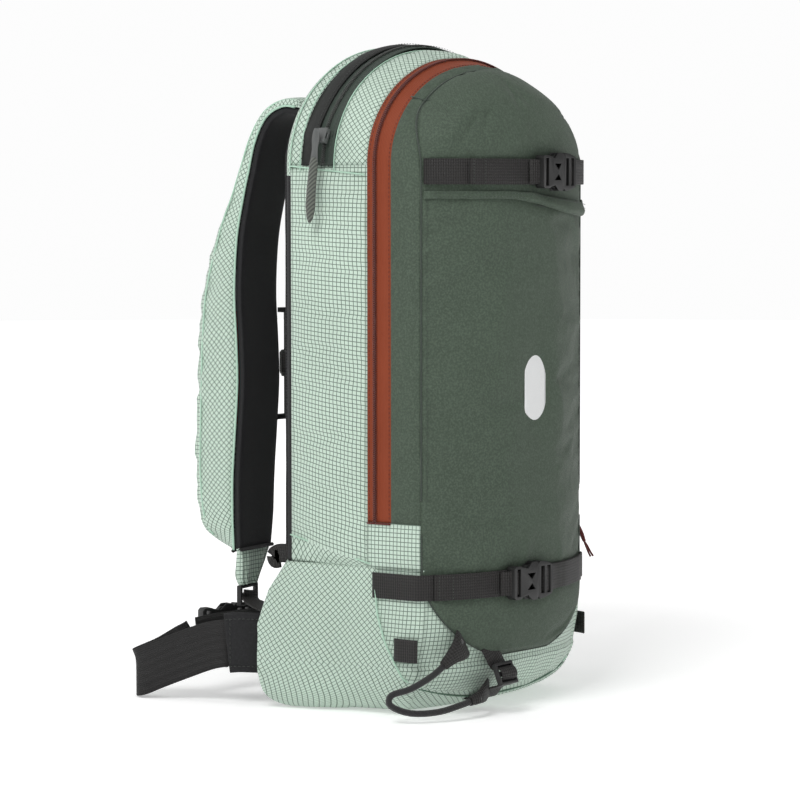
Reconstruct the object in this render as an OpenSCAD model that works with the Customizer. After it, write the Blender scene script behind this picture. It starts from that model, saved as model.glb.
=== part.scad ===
// Avalanche airbag backpack.
// Frame: +Z up, -Y is the outer face, +Y is the back that meets the wearer, +X is the wearer's right.
// The origin is on the floor under the middle of the base. Inside the modules y counts from the back wall.

/* [Pack body] */
// Height of the pack at the top of its arch
pack_height = 525; // [500:1:560]
// Half width of the pack at the back wall
back_half_width = 120; // [110:1:130]
// Half width of the pack at the seam of the front panel
front_half_width = 98; // [92:1:104]
// Depth from the back wall to the seam of the front panel
seam_depth = 128; // [122:1:134]
// How far the front panel bulges past its seam
front_bulge = 28; // [20:1:34]
// Height where the straight sides turn into the arch
arch_start = 430; // [420:1:440]
// Height where the mint boot ends and the side panels begin
boot_height = 118; // [110:1:124]
// Thickness of the fabric walls with their lining
wall = 2; // [1.5:0.1:3]

/* [Zips] */
// Height of the lower ends of the front zip
front_zip_end = 152; // [146:1:160]
// Depth of the coil of the front zip
front_coil_depth = 87; // [84:1:90]
// Depth of the coil of the top zip
top_coil_depth = 41; // [39:1:42]
// Radius of the track of the top zip
top_track_radius = 122; // [120:0.5:124]

/* [Webbing] */
// Width of the webbing of the two compression straps
strap_width = 20; // [18:1:22]
// Width of the webbing of the hip belt
belt_width = 38; // [34:1:40]
// Width of the webbing of the sternum strap
sternum_width = 18; // [16:1:20]
// Thickness of all webbing
webbing = 1.6; // [1.2:0.1:2]
// Height of the middle of the upper compression strap
upper_strap_height = 425; // [420:1:428]
// Height of the middle of the lower compression strap
lower_strap_height = 104; // [100:1:108]

/* [Shoulder straps] */
// Thickness of the foam of a shoulder strap
pad_thickness = 7; // [6:0.5:8]
// Thickness of the cover of a shoulder strap
cover_wall = 1.5; // [1:0.1:2]

/* [Gas system] */
// Radius of a gas cartridge
cartridge_radius = 18; // [15:0.5:18.5]
// Length of the straight part of a gas cartridge
cartridge_length = 130; // [100:1:134]
// Outer radius of the air duct
duct_radius = 16; // [15:0.5:17]
// Travel of the trigger handle
trigger_travel = 20; // [12:1:20]

/* [Hidden] */
$fn = 32;
base_middle = 60;
gap = 0.3;
zip_tape_inner = 7;
zip_tape_outer = 14;
gusset_end = seam_depth - 2.8;
front_start = front_coil_depth + gap;
panel_wall = 2.2;
fold_height = front_zip_end - 3;
top_fall = 0.0019;
track_centre = 404;
bottom_round = 90;
dome_height = arch_top(seam_depth) - arch_start;

// ---------- Outline of the pack ----------

function half_width(depth) =
    back_half_width - (back_half_width - front_half_width) * depth / seam_depth;

function arch_top(depth) = pack_height - top_fall * pow(depth - 10, 2);

// Inset of a quarter circle edge of the given radius, at a height above its lower end
function edge_inset(z, radius) = z < radius ? radius - sqrt(radius * radius - pow(radius - z, 2)) : 0;

// The arched outline in the XZ plane: up the right side, over the arch, and down the left side
function arch_outline(half, top, low, steps = 24) = let (legs = low < arch_start) concat(
    legs ? [[half, low]] : [],
    [for (i = [0:steps]) let (a = 180 * i / steps)
        [half * cos(a), arch_start + (top - arch_start) * sin(a)]],
    legs ? [[-half, low]] : []);

// The same outline at a depth inside the pack, moved in from the outer surface
function body_outline(depth, inset, low, steps = 24) =
    arch_outline(half_width(depth) - inset, arch_top(depth) - inset, low, steps);

// How far the front panel stands out, as a share of the full bulge
function dome(z) = z > arch_start ? sqrt(max(0, 1 - pow((z - arch_start) / dome_height, 2))) : 1;
function bow(u) = 1 - pow(abs(u), 2.6);

// Depth of the outer surface of the front panel, where u runs from -1 to 1 across it
function front_depth(u, z) =
    seam_depth - edge_inset(z, bottom_round) * 0.5 + front_bulge * bow(u) * dome(z)
    - edge_inset(z, bottom_round) * 0.22 * bow(u);
function front_half(z) = z > arch_start
    ? front_half_width * sqrt(max(0, 1 - pow((z - arch_start) / dome_height, 2)))
    : front_half_width + 1.5 * sin(min(180, 180 * z / boot_height)) - edge_inset(z, 34);

// A point in front of the front panel at a given place
function on_front(x, z, stand_off) = [x, -(front_depth(x / front_half_width, z) + stand_off), z];

// ---------- Solids from grids of points ----------

function triangle_volume(p, f) = cross(p[f[0]], p[f[1]]) * p[f[2]];
function total(values) = [for (v = values) 1] * values;

// A closed solid whose faces may all wind either way: they are turned to face out
module oriented(points, faces) {
    volume = total([for (f = faces) triangle_volume(points, f)]);
    polyhedron(points, volume < 0 ? faces : [for (f = faces) [f[2], f[1], f[0]]]);
}

function quad(a, b, c, d) = [[a, b, c], [a, c, d]];

// The solid between two open grids of points with the same rows and columns
module between_grids(top, bottom) {
    rows = len(top);
    cols = len(top[0]);
    half = rows * cols;
    points = concat([for (row = top) each row], [for (row = bottom) each row]);
    faces = concat(
        [for (r = [0:rows - 2], c = [0:cols - 2]) let (a = r * cols + c)
            each quad(a, a + 1, a + cols + 1, a + cols)],
        [for (r = [0:rows - 2], c = [0:cols - 2]) let (a = half + r * cols + c)
            each quad(a + cols, a + cols + 1, a + 1, a)],
        [for (c = [0:cols - 2]) each quad(c + 1, c, half + c, half + c + 1)],
        [for (c = [0:cols - 2]) let (a = half - cols + c) each quad(a, a + 1, half + a + 1, half + a)],
        [for (r = [0:rows - 2]) let (a = r * cols) each quad(a, a + cols, half + a + cols, half + a)],
        [for (r = [0:rows - 2]) let (a = r * cols + cols - 1)
            each quad(a + cols, a, half + a, half + a + cols)]);
    oriented(points, faces);
}

// The bowl between two stacks of closed rings, open at the top
module bowl(outer, inner) {
    rows = len(outer);
    cols = len(outer[0]);
    half = rows * cols;
    points = concat([for (ring = outer) each ring], [for (ring = inner) each ring]);
    faces = concat(
        [for (r = [0:rows - 2], c = [0:cols - 1]) let (a = r * cols, n = (c + 1) % cols)
            each quad(a + c, a + n, a + n + cols, a + c + cols)],
        [for (r = [0:rows - 2], c = [0:cols - 1]) let (a = half + r * cols, n = (c + 1) % cols)
            each quad(a + c + cols, a + n + cols, a + n, a + c)],
        [for (c = [0:cols - 1]) let (a = half - cols, n = (c + 1) % cols)
            each quad(a + c, a + n, half + a + n, half + a + c)],
        [for (c = [1:cols - 2]) [0, c + 1, c]],
        [for (c = [1:cols - 2]) [half, half + c, half + c + 1]]);
    oriented(points, faces);
}

function unit(v) = v / norm(v);
function ahead(path, i) = unit(path[min(i + 1, len(path) - 1)] - path[max(i - 1, 0)]);

// A flat band along a path. across is the direction of its width.
module band(path, across, width, thickness) {
    normals = [for (i = [0:len(path) - 1]) unit(cross(across, ahead(path, i)))];
    function side(sign) = [for (i = [0:len(path) - 1])
        [for (w = [-0.5, 0.5]) path[i] + unit(across) * width * w + normals[i] * thickness * sign / 2]];
    between_grids(side(1), side(-1));
}

// A smooth curve through hand-chosen points
function curve_point(a, b, c, d, t) =
    0.5 * (2 * b + (c - a) * t + (2 * a - 5 * b + 4 * c - d) * t * t + (3 * b - a - 3 * c + d) * t * t * t);
function smooth(p, steps) = let (last = len(p) - 1) concat(
    [for (i = [0:last - 1], s = [0:steps - 1])
        curve_point(p[max(i - 1, 0)], p[i], p[i + 1], p[min(i + 2, last)], s / steps)],
    [p[last]]);

// A round tube along a path, closed at both ends
module tube_along(path, radius, sides) {
    count = len(path);
    rings = [for (i = [0:count - 1]) let (
            forward = ahead(path, i),
            side = unit(cross(forward, abs(forward[0]) < 0.8 ? [1, 0, 0] : [0, 1, 0])),
            up = cross(side, forward))
        [for (k = [0:sides - 1]) let (a = 360 * k / sides) path[i] + radius * (side * cos(a) + up * sin(a))]];
    faces = concat(
        [for (r = [0:count - 2], c = [0:sides - 1]) let (a = r * sides, n = (c + 1) % sides)
            each quad(a + c, a + n, a + n + sides, a + c + sides)],
        [for (c = [1:sides - 2]) [0, c + 1, c]],
        [for (c = [1:sides - 2]) let (a = (count - 1) * sides) [a, a + c, a + c + 1]]);
    oriented([for (ring = rings) each ring], faces);
}

// A flat plate cut from an outline in the XZ plane, from one depth to another
module plate(outline, from_depth, to_depth) {
    translate([0, -from_depth, 0])
        rotate([90, 0, 0])
            linear_extrude(to_depth - from_depth) polygon(outline);
}

// An arched band of fabric between two depths, with straight legs down to a height
module arch_band(from_depth, to_depth, low, outer_inset = 0, inner_inset = wall) {
    function side(inset) = [for (d = [from_depth, to_depth])
        [for (p = body_outline(d, inset, low)) [p[0], -d, p[1]]]];
    between_grids(side(outer_inset), side(inner_inset));
}

// A prism that follows the tapering side of the pack, on the wearer's right
module side_wall(from_depth, to_depth, low, high) {
    translate([0, 0, low])
        linear_extrude(high - low)
            polygon([[half_width(from_depth), -from_depth], [half_width(to_depth), -to_depth],
                [half_width(to_depth) - wall, -to_depth], [half_width(from_depth) - wall, -from_depth]]);
}

// Depths count from the back wall, and the origin is under the middle of the base
module placed() translate([0, base_middle, 0]) children();

module left() mirror([1, 0, 0]) children();

module pair() {
    children();
    left() children();
}

// ---------- Back ----------

pad_depth = 9;
pad_low = 32;
pad_half_width = 118;
pad_top = 510;
wall_clear = 1.8;
sheet_half_width = 105;
sheet_low = 44;
sheet_top = 482;
sheet_depths = [2.2, 3.7];
stay_width = 20;
stay_heights = [50, 470];
stay_depths = [4, 7];
port_radius = 4;
port_length = 40;

// The hole that lets the trigger cable into the pack
module cable_port() translate([port[0], port_length / 2, port[2]])
    rotate([90, 0, 0]) cylinder(r = port_radius, h = port_length);

module back_pad() color("#2b2b2e") placed() difference() {
    translate([0, pad_depth + gap, 0]) plate(arch_outline(pad_half_width, pad_top, pad_low), 0, pad_depth);
    cable_port();
}

module back_wall() color("#3a3d3e") placed() difference() {
    plate(arch_outline(pad_half_width - 0.5, pack_height - 5, boot_height + gap), 0, wall_clear);
    cable_port();
}

module frame_sheet() color("#1c1c1e") placed() difference() {
    plate(arch_outline(sheet_half_width, sheet_top, sheet_low), sheet_depths[0], sheet_depths[1]);
    cable_port();
}

module frame_stay() color("#a8adb2") placed()
    translate([-stay_width / 2, -stay_depths[1], stay_heights[0]])
        cube([stay_width, stay_depths[1] - stay_depths[0], stay_heights[1] - stay_heights[0]]);

// ---------- Fabric walls of the main compartment ----------

side_end = front_coil_depth - zip_tape_inner - gap;
module side_panel() side_wall(wall_clear + gap, side_end, boot_height + gap, arch_start - gap);
module side_panel_right() color("#b9dcc6") placed() side_panel();
module side_panel_left() color("#b9dcc6") placed() left() side_panel();

zip_window = [19, 50];
module top_panel_rear() color("#b9dcc6") placed()
    arch_band(wall_clear + gap, zip_window[0], arch_start);
module top_panel_front() color("#b9dcc6") placed()
    arch_band(zip_window[1], side_end, arch_start);

// Corner points of the boot at one height, moved in by the wall where it is the inner face
function boot_ring(z, inset) = let (
        back_half = back_half_width + 4 * sin(min(180, 180 * z / boot_height)) - edge_inset(z, 24) - inset,
        back_y = -edge_inset(z, 16) - inset,
        half = front_half(z) - inset,
        cover = 3)
    concat(
        [[back_half - 4, back_y, z], [back_half, back_y - 4, z]],
        [for (u = [1, 0.8, 0.5, 0, -0.5, -0.8, -1]) [u * half, -(front_depth(u, z) - inset - cover), z]],
        [[-back_half, back_y - 4, z], [-back_half + 4, back_y, z]]);

boot_levels = [0, 1.5, 4, 8, 14, 22, 32, 46, 64, 90, 118];
module base_boot() color("#a9d3ba") placed() {
    scale_z = boot_height / boot_levels[10];
    bowl([for (z = boot_levels) boot_ring(z * scale_z, 0)],
        [for (z = boot_levels) boot_ring(wall + z * scale_z * (1 - wall / boot_height), wall)]);
}

panel_low = 46;
panel_columns = [-1, -0.8, -0.5, 0, 0.5, 0.8, 1];
// Share of the width that the U-shaped lower end of the green panel covers at a height
function u_share(z) = z < boot_height
    ? sqrt(1 - pow((boot_height - z) / (boot_height - panel_low + 4), 2))
    : 1;

module front_sheet(levels, thickness) {
    function side(inset) = [for (z = levels) [for (c = panel_columns) let (u = c * u_share(z))
        [u * (front_half(z) - inset * 0.6), -(front_depth(u, z) - inset), z]]];
    between_grids(side(0), side(thickness));
}

module lower_front_panel() color("#4a5a4e") placed()
    front_sheet([46, 50, 56, 66, 80, 98, boot_height, fold_height - 1], 1.6);

module zip_end_patches() color("#b9dcc6") placed() pair()
    side_wall(side_end + gap, gusset_end - 2, boot_height + gap, front_zip_end - gap);

// ---------- Divider and tool sleeves ----------

divider_depth = 76;
divider_thickness = 1.2;
sleeve_depth = 14;
sleeve_wall = 1;
sleeve_low = 60;
module divider() color("#55595a") placed()
    plate([[72, 16], [96, 44], [101, 120], [101, arch_start], [92, 470], [60, 497], [0, 508], [-60, 497],
        [-92, 470], [-101, arch_start], [-101, 120], [-96, 44], [-72, 16]],
        divider_depth, divider_depth + divider_thickness);

// A flat pocket that is open at the top
module tool_sleeve(low_x, width, height) {
    translate([low_x, -(divider_depth + divider_thickness + gap + sleeve_depth), sleeve_low]) difference() {
        cube([width, sleeve_depth, height]);
        translate([1, 1, 1] * sleeve_wall)
            cube([width - 2 * sleeve_wall, sleeve_depth - 2 * sleeve_wall, height]);
    }
}

module tool_sleeves() color("#d97a2a") placed() {
    tool_sleeve(-84, 74, 200);
    tool_sleeve(4, 34, 240);
    tool_sleeve(46, 34, 240);
}

// ---------- Front zip ----------

coil_height = 1.6;

module front_zip_tape_inner() color("#b4512a") placed() union() {
    arch_band(front_coil_depth - zip_tape_inner, front_coil_depth, front_zip_end, 0, wall);
    arch_band(front_coil_depth - 2, front_coil_depth, front_zip_end, -coil_height, 0.5);
}

module front_zip_tape_outer() color("#b4512a") placed()
    arch_band(front_start, front_coil_depth + zip_tape_outer, front_zip_end);

module gusset_strip() color("#4a5a4e") placed()
    arch_band(front_coil_depth + zip_tape_outer + gap, gusset_end, front_zip_end);

// ---------- Front panel ----------

dome_angles = [0, 15, 30, 45, 58, 70, 80];
module front_panel() color("#4a5a4e") placed()
    front_sheet(concat([front_zip_end, 250, 350], [for (a = dome_angles) arch_start + dome_height * sin(a)]),
        panel_wall);

// A stitched fabric lip below the upper strap, gaping a little on its right part
lip_top = 409;
function lip_low(x) = lip_top - 6 - max(0, x) * 0.18;
module pocket_lip() color("#46554a") placed() {
    xs = [-92, -60, -30, 0, 30, 60, 86];
    outer = [for (x = xs) [on_front(x, lip_low(x), 3.4), on_front(x, lip_top, 2.6)]];
    inner = [for (x = xs) [on_front(x, lip_low(x), 1.4), on_front(x, lip_top, 1.4)]];
    between_grids(outer, inner);
}

// ---------- Side-release buckles ----------
// Local frame: the webbing runs along X, Z is across it and Y is the thickness. The mouth is at the origin.

function mirrored(points) =
    concat(points, [for (i = [len(points) - 1:-1:0]) [points[i][0], -points[i][1]]]);

module slab(points, thickness) rotate([90, 0, 0]) linear_extrude(thickness, center = true) polygon(points);

buckle_thickness = 8;
buckle_play = 0.35;

module buckle_female(width) {
    half = width / 2 + 5;
    inside = half - 2.2;
    difference() {
        slab(mirrored([[0, half - 2], [-2, half], [-8, half], [-13, half - 4.5], [-18, half - 3.5],
            [-22, half - 2], [-28, half - 2], [-30, half - 4]]), buckle_thickness);
        translate([-18, -2.4, -inside]) cube([19, 4.8, 2 * inside]);
        for (side = [-1, 1]) translate([-12.5, -3, side * half - 3]) cube([8, 6, 6]);
        translate([-26.5, -5, -width / 2 - 0.8]) cube([4.2, 10, width + 1.6]);
        for (side = [-1, 1]) slab([[-8, side * 1.5], [-14, side * 6.5], [-4, side * 6.5]], 12);
    }
}

// The male half sits in the mouth: its prongs lie on the -X side and its ladder bar on the +X side
module buckle_male(width) {
    half = width / 2 + 5;
    inside = half - 2.2 - buckle_play;
    union() {
        difference() {
            slab(mirrored([[0.4, half - 2], [2.4, half], [10, half - 1], [17, half - 3], [18, half - 5]]), 7);
            translate([3.6, -5, -width / 2 - 0.8]) cube([4.2, 10, width + 1.6]);
            translate([11, -5, -width / 2 - 0.8]) cube([4.2, 10, width + 1.6]);
        }
        for (side = [-1, 1]) slab([[0.6, side * inside], [-4.4, side * inside], [-12, side * (inside + 0.2)],
            [-16.5, side * (inside - 4)], [-16.5, side * (inside - 5)], [-4.4, side * (inside - 3.6)],
            [0.6, side * (inside - 4.2)]], 4);
        translate([-12, -1.9, -1.2]) cube([12.8, 3.8, 2.4]);
    }
}

// ---------- Compression straps ----------

upper_buckle_x = 30;
lower_buckle_x = -2;
strap_stand_off = 1 + webbing / 2;
buckle_stand_off = strap_stand_off + webbing / 2 + 0.6 + buckle_thickness / 2;

// Angle of the tangent of the front panel at a place, about Z
function front_turn(x, z) = let (a = on_front(x - 3, z, 0), b = on_front(x + 3, z, 0))
    atan2(b[1] - a[1], b[0] - a[0]);

// Moves its children from the buckle frame onto the front panel
module at_front(x, z) translate(on_front(x, z, buckle_stand_off)) rotate([0, 0, front_turn(x, z)]) children();

// Webbing that lies across the front panel from seam to seam
module front_webbing(z) {
    steps = 9;
    from_x = -front_half_width + 0.5;
    to_x = front_half_width - 1;
    band([for (i = [0:steps]) on_front(from_x + (to_x - from_x) * i / steps, z, strap_stand_off)],
        [0, 0, 1], strap_width, webbing);
}

module upper_strap() color("#2e2b2c") placed() front_webbing(upper_strap_height);
module at_upper_buckle() placed() at_front(upper_buckle_x, upper_strap_height) children();
module upper_buckle_female() color("#262425") at_upper_buckle() buckle_female(strap_width);
module upper_buckle_male() color("#262425") at_upper_buckle() buckle_male(strap_width);

module lower_strap() color("#2e2b2c") placed() front_webbing(lower_strap_height);
module at_lower_buckle() placed() at_front(lower_buckle_x, lower_strap_height) children();
module lower_buckle_female() color("#262425") at_lower_buckle() buckle_female(strap_width);
module lower_buckle_male() color("#262425") at_lower_buckle() buckle_male(strap_width);

// ---------- Zip sliders ----------

// A slider in its own frame: the coil runs along Z, the top of the tape is at y = 0 and the bridge is outside
module slider_body() {
    difference() {
        translate([-5, -5.6, -6]) cube([10, 3.6, 12]);
        translate([-6, -4.2, -2.5]) cube([12, 1.2, 5]);
    }
    for (x = [-5, 3.6]) translate([x, -2.2, -6]) cube([1.4, 1.7, 12]);
}

slider_rest_height = front_zip_end + 8;
// Slant of the side of the pack, seen from above
side_slant = atan((back_half_width - front_half_width) / seam_depth);
module at_front_slider()
    translate([half_width(front_coil_depth) + 0.2, -front_coil_depth, slider_rest_height])
    rotate([0, 0, 90 - side_slant]) children();

module front_zip_slider() color("#3b3d3f") placed() at_front_slider() slider_body();

// Cord-and-sleeve puller of the front zip
puller_sleeve_route = [[112.5, -89, 158], [114.5, -96, 152], [117, -104, 142], [118.5, -112, 131],
    [119.5, -117, 120]];
puller_cord_route = [[119.6, -117.4, 119], [120.5, -121, 113], [121, -124, 108]];
puller_sleeve_radius = 1.6;
puller_cord_radius = 1.1;
module front_zip_puller() color("#6d2a26") placed() {
    tube_along(smooth(puller_sleeve_route, 3), puller_sleeve_radius, 10);
    tube_along(puller_cord_route, puller_cord_radius, 8);
}

// Points of the track of the top zip, as an outline in the XZ plane
track_half_angle = 66;
function track(radius, leg_half) = concat(
    [[leg_half, arch_start]],
    [for (i = [0:30]) let (a = 90 - track_half_angle + 2 * track_half_angle * i / 30)
        [radius * cos(a), track_centre + radius * sin(a)]],
    [[-leg_half, arch_start]]);

module track_band(inner, outer, leg_half, from_depth, to_depth) {
    function side(radius, leg) = [for (d = [from_depth, to_depth])
        [for (p = track(radius, leg)) [p[0], -d, p[1]]]];
    between_grids(side(outer, leg_half), side(inner, leg_half - outer + inner));
}

module top_zip_tape() color("#3d4b41") placed() union() {
    track_band(top_track_radius - 1.2, top_track_radius, 114.5, zip_window[0], zip_window[1]);
    track_band(top_track_radius - 0.5, top_track_radius + 1.6, 116.1,
        top_coil_depth - 1.5, top_coil_depth + 1.5);
}

module top_zip_flap() color("#242325") placed()
    track_band(top_track_radius + 0.3, top_track_radius + 1.8, 116.3,
        zip_window[0] + gap, top_coil_depth - 9.5);

top_rest_angle = 157;
module at_top_slider() translate([0, -top_coil_depth, track_centre])
    rotate([0, 90 - top_rest_angle, 0])
        translate([0, 0, top_track_radius])
            rotate([90, 0, 90]) children();

module top_zip_slider() color("#5a5d5c") placed() at_top_slider() rotate([0, 0, 180]) slider_body();

// Plate and woven sleeve that hang from the bridge of the top slider
top_bridge = [-119.6, 454.5];
puller_lean = 6.5;
module top_zip_puller() color("#56605a") placed() translate([top_bridge[0], -top_coil_depth, top_bridge[1]])
    rotate([0, puller_lean, 0]) {
        difference() {
            translate([-4, -4.5, -22]) cube([2, 9, 26]);
            translate([-5, -2.5, -2]) cube([4, 5, 3]);
        }
        translate([-4.8, -4.8, -70]) cube([3.2, 9.6, 47.8]);
    }

// ---------- Loops and tabs ----------

// Grab loop of webbing behind the top of the back pad
haul_reach = [27, 17];
haul_height = 478;
haul_thickness = 2;
module haul_loop() color("#2e2b2c") placed()
    band([for (a = [0:15:180])
        [haul_reach[0] * cos(a), pad_depth + 2 * gap + haul_reach[1] * sin(a), haul_height]],
        [0, 0, 1], strap_width, haul_thickness);

tool_loop_route = [[-72, -146, 62], [-82, -147, 52], [-96, -140, 38], [-110, -128, 27], [-120, -117, 22],
    [-121, -117, 14], [-110, -128, 8], [-92, -140, 8], [-74, -148, 12], [-56, -152, 16]];
tool_strap_route = [[-46, -152.5, 58], [-40, -152.5, 48], [-35, -151, 38], [-31, -147.5, 28],
    [-28, -142, 16]];
tool_loop_radius = 2.6;
tool_strap_width = 18;
module tool_loop() color("#2a2829") placed() {
    tube_along(smooth(tool_loop_route, 3), tool_loop_radius, 8);
    band(tool_strap_route, [1, 0, 0.4], tool_strap_width, webbing);
}

// A plate in the XZ plane with two slots for webbing
module slotted_plate(size, slot_width, slot_height, slot_lows) difference() {
    translate([-size[0] / 2, -size[1] / 2, size[3]]) cube([size[0], size[1], size[2]]);
    for (z = slot_lows)
        translate([-slot_width / 2, -size[1], z]) cube([slot_width, 2 * size[1], slot_height]);
}

adjuster_place = [-33, -158.4, 33];
adjuster_tilt = [-22, 0, 6];
module tool_loop_adjuster() color("#242325") placed() translate(adjuster_place) rotate(adjuster_tilt)
    slotted_plate([24, 4, 18, -9], 19, 4.5, [-6.5, 2]);

ski_tab = [2, 16, 18];
ski_tab_turn = -11.3;
module ski_tabs() color("#242325") placed() pair()
    translate([front_half_width + 5.4, ski_tab[1] - seam_depth, panel_low])
        rotate([0, 0, ski_tab_turn]) cube(ski_tab);

// ---------- Shoulder straps ----------
// Middle of the face that lies on the wearer, for the wearer's left strap, from its root to its lower end

strap_line = [[-58, 14, 478], [-59, 30, 482], [-60, 46, 474], [-61, 56, 455], [-62, 62, 430], [-64, 68, 403],
    [-67, 72, 370], [-72, 70, 328], [-76, 64, 290], [-79, 60, 255], [-84, 58, 215], [-89, 56, 180],
    [-94, 52, 148], [-98, 49, 122]];
cover_heights = [17, 17, 17, 18, 20, 24, 33, 46, 53, 55, 53, 50, 44, 26];
strap_half_widths = [26, 27, 28, 28, 28, 28, 28, 28, 28, 28, 28, 28, 27, 24];
tail_line = [[-98, 49, 121.6], [-101, 48, 110], [-104, 48, 100], [-106, 48, 94]];
tail_half_widths = [24, 17, 12, 11];

// Direction across a strap: it turns outwards below the root
strap_turn = 12;
function strap_across(i) = let (turn = strap_turn * min(1, i / 4)) [cos(turn), sin(turn), 0];
function strap_normal(i) = unit(cross(strap_across(i), ahead(strap_line, i)));

// One row of a strap at a height above its face: s runs from -1 to 1 across it
function strap_row(i, shares, heights) = [for (k = [0:len(shares) - 1])
    strap_line[i] + strap_across(i) * shares[k] * strap_half_widths[i] + strap_normal(i) * heights[k]];

module strap_pad() union() {
    last = len(strap_line) - 1;
    flat = [-1, 0, 1];
    between_grids([for (i = [0:last]) strap_row(i, flat, [1, 1, 1] * pad_thickness)],
        [for (i = [0:last]) strap_row(i, flat, [0, 0, 0])]);
    tail = [for (i = [0:3]) [for (s = flat) tail_line[i] + strap_across(last) * s * tail_half_widths[i]]];
    tail_thickness = 5;
    out = strap_normal(last) * tail_thickness;
    between_grids([for (row = tail) [for (p = row) p + out]], tail);
}

cover_shares = [-1, -1, -0.94, -0.6, 0, 0.6, 0.94, 1, 1];
cover_rise = [0, 0.5, 0.82, 0.98, 1, 0.98, 0.82, 0.5, 0];
module strap_cover() {
    last = len(strap_line) - 1;
    // Height of the cover above the pad at each station; both ends close onto the pad
    function rise(i) = (cover_heights[i] - pad_thickness - gap);
    function row(i, inset) = strap_row(i,
        [for (s = cover_shares) s * (1 - inset / strap_half_widths[i])],
        [for (h = cover_rise) pad_thickness + gap + h * (rise(i) - inset)]);
    between_grids([for (i = [0:last]) row(i, 0)], [for (i = [0:last]) row(i, cover_wall)]);
    // The lower end is closed by a cap that starts inside the wall
    forward = ahead(strap_line, last);
    floor_row = strap_row(last, [for (s = cover_shares) s * 0.95],
        [for (s = cover_shares) pad_thickness + gap]);
    section = [row(last, 0), floor_row];
    between_grids([for (r = section) [for (p = r) p - forward]],
        [for (r = section) [for (p = r) p + forward * 2]]);
}

module left_strap_pad() color("#26262a") placed() strap_pad();
module left_strap_cover() color("#b9dcc6") placed() strap_cover();
module right_strap_pad() color("#26262a") placed() left() strap_pad();
module right_strap_cover() color("#b9dcc6") placed() left() strap_cover();

// Plate with two slots at the lower end of each strap
module ladder_locks() color("#242325") placed() pair()
    translate([-107, 51, 84]) rotate([0, 0, strap_turn]) slotted_plate([26, 4, 16.5, -8], 20.8, 4, [-5.5, 2]);

module strap_webbing() color("#2e2b2c") placed() pair()
    band([[-108, 46.5, 82], [-110, 40, 79], [-113, 30, 77.2], [-116, 20, 76.2], [-118, 10.5, 75.8]],
        [cos(strap_turn), sin(strap_turn), 0], strap_width, webbing);

// ---------- Sternum strap ----------

sternum_height = 268;
rail_x = 40;
rail_y = 72;
rail_radius = 1.6;
rail_low = 226;
rail_length = 84;
rail_foot = 4;
module sternum_rails() color("#1f1f21") placed() pair() {
    translate([-rail_x, rail_y, rail_low]) cylinder(r = rail_radius, h = rail_length);
    translate([-rail_x - 14, rail_y - 4, rail_low - rail_foot]) cube([17, 7, rail_foot]);
    translate([-rail_x - 5.5, rail_y - 3, rail_low + rail_length]) cube([8.5, 7, rail_foot]);
}

clip_side = 7;
clip_height = 22;
clip_play = 0.25;
module sternum_clip() translate([-rail_x, rail_y, sternum_height]) difference() {
    cube([clip_side, clip_side, clip_height], center = true);
    cylinder(r = rail_radius + clip_play, h = 2 * clip_height, center = true);
}

module sternum_strap() color("#2e2b2c") placed() union() {
    pair() sternum_clip();
    translate([-rail_x - clip_side / 2, sternum_webbing_y, sternum_height - sternum_width / 2])
        cube([2 * rail_x + clip_side, webbing, sternum_width]);
}

sternum_webbing_y = rail_y + clip_side / 2 - gap;
sternum_buckle_x = -4;
sternum_buckle_size = sternum_width - 4;
module at_sternum() placed()
    translate([sternum_buckle_x, sternum_webbing_y + webbing + gap + buckle_thickness / 2, sternum_height])
        children();
module sternum_buckle_female() color("#262425") at_sternum() buckle_female(sternum_buckle_size);
module sternum_buckle_male() color("#262425") at_sternum() buckle_male(sternum_buckle_size);

// ---------- Hip belt ----------

hip_height = 49;
wing_height = 48;
wing_thickness = 5;
module hip_wings() color("#2e2b2c") placed() pair()
    band([[-119, pad_depth + 4, hip_height + 1], [-127, 20, hip_height + 1], [-135, 33, hip_height + 1],
        [-139, 42, hip_height]], [0, 0, 1], wing_height, wing_thickness);

// The left part runs out, drops to the floor and comes back to the buckle.
// The right part runs round the waist.
belt_left = [[-140.4, 44.8, 48.6], [-145, 60, 45], [-153, 85, 35], [-160, 106, 26], [-163, 117, 21],
    [-162, 123, 19.5], [-157, 124, 20.5], [-152, 118, 24], [-146, 106, 30], [-141, 95, 37], [-137, 88, 42],
    [-131, 84.5, 46]];
belt_right = [[-131, 84.5, 46], [-112, 80, 48], [-70, 71, 49], [-20, 63, 49], [40, 58, 49], [95, 52, 49],
    [130, 45.5, 49], [139.6, 44.6, 49]];
module hip_webbing() color("#2e2b2c") placed() union() {
    band(belt_left, [0, 0, 1], belt_width, webbing);
    band(belt_right, [0, 0, 1], belt_width, webbing);
}

hip_turn = -12.2;
hip_buckle_place = [-94, 82.5, hip_height];
module at_hip() placed() translate(hip_buckle_place) rotate([0, 0, hip_turn]) children();
module hip_buckle_female() color("#262425") at_hip() buckle_female(belt_width);
module hip_buckle_male() color("#262425") at_hip() buckle_male(belt_width);

// ---------- Airbag and gas system ----------

head_low = 250;
head_high = 290;
cartridge_x = [46, 84];
cartridge_depth = 50;
neck_radius = 8;
neck_play = 0.05;
duct_x = 8;
duct_bore = 12;
pin_radius = 2;
pin_play = 0.15;
lever_y = -38;
lever_axis_height = 312;
pivot_radius = 2;
pivot_play = 0.1;
airbag_half_width = 84;
airbag_heights = [404, 496];
airbag_depths = [18, 72];

module airbag() color("#e0691f") placed()
    plate(arch_outline(airbag_half_width, airbag_heights[1], airbag_heights[0]),
        airbag_depths[0], airbag_depths[1]);

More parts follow.
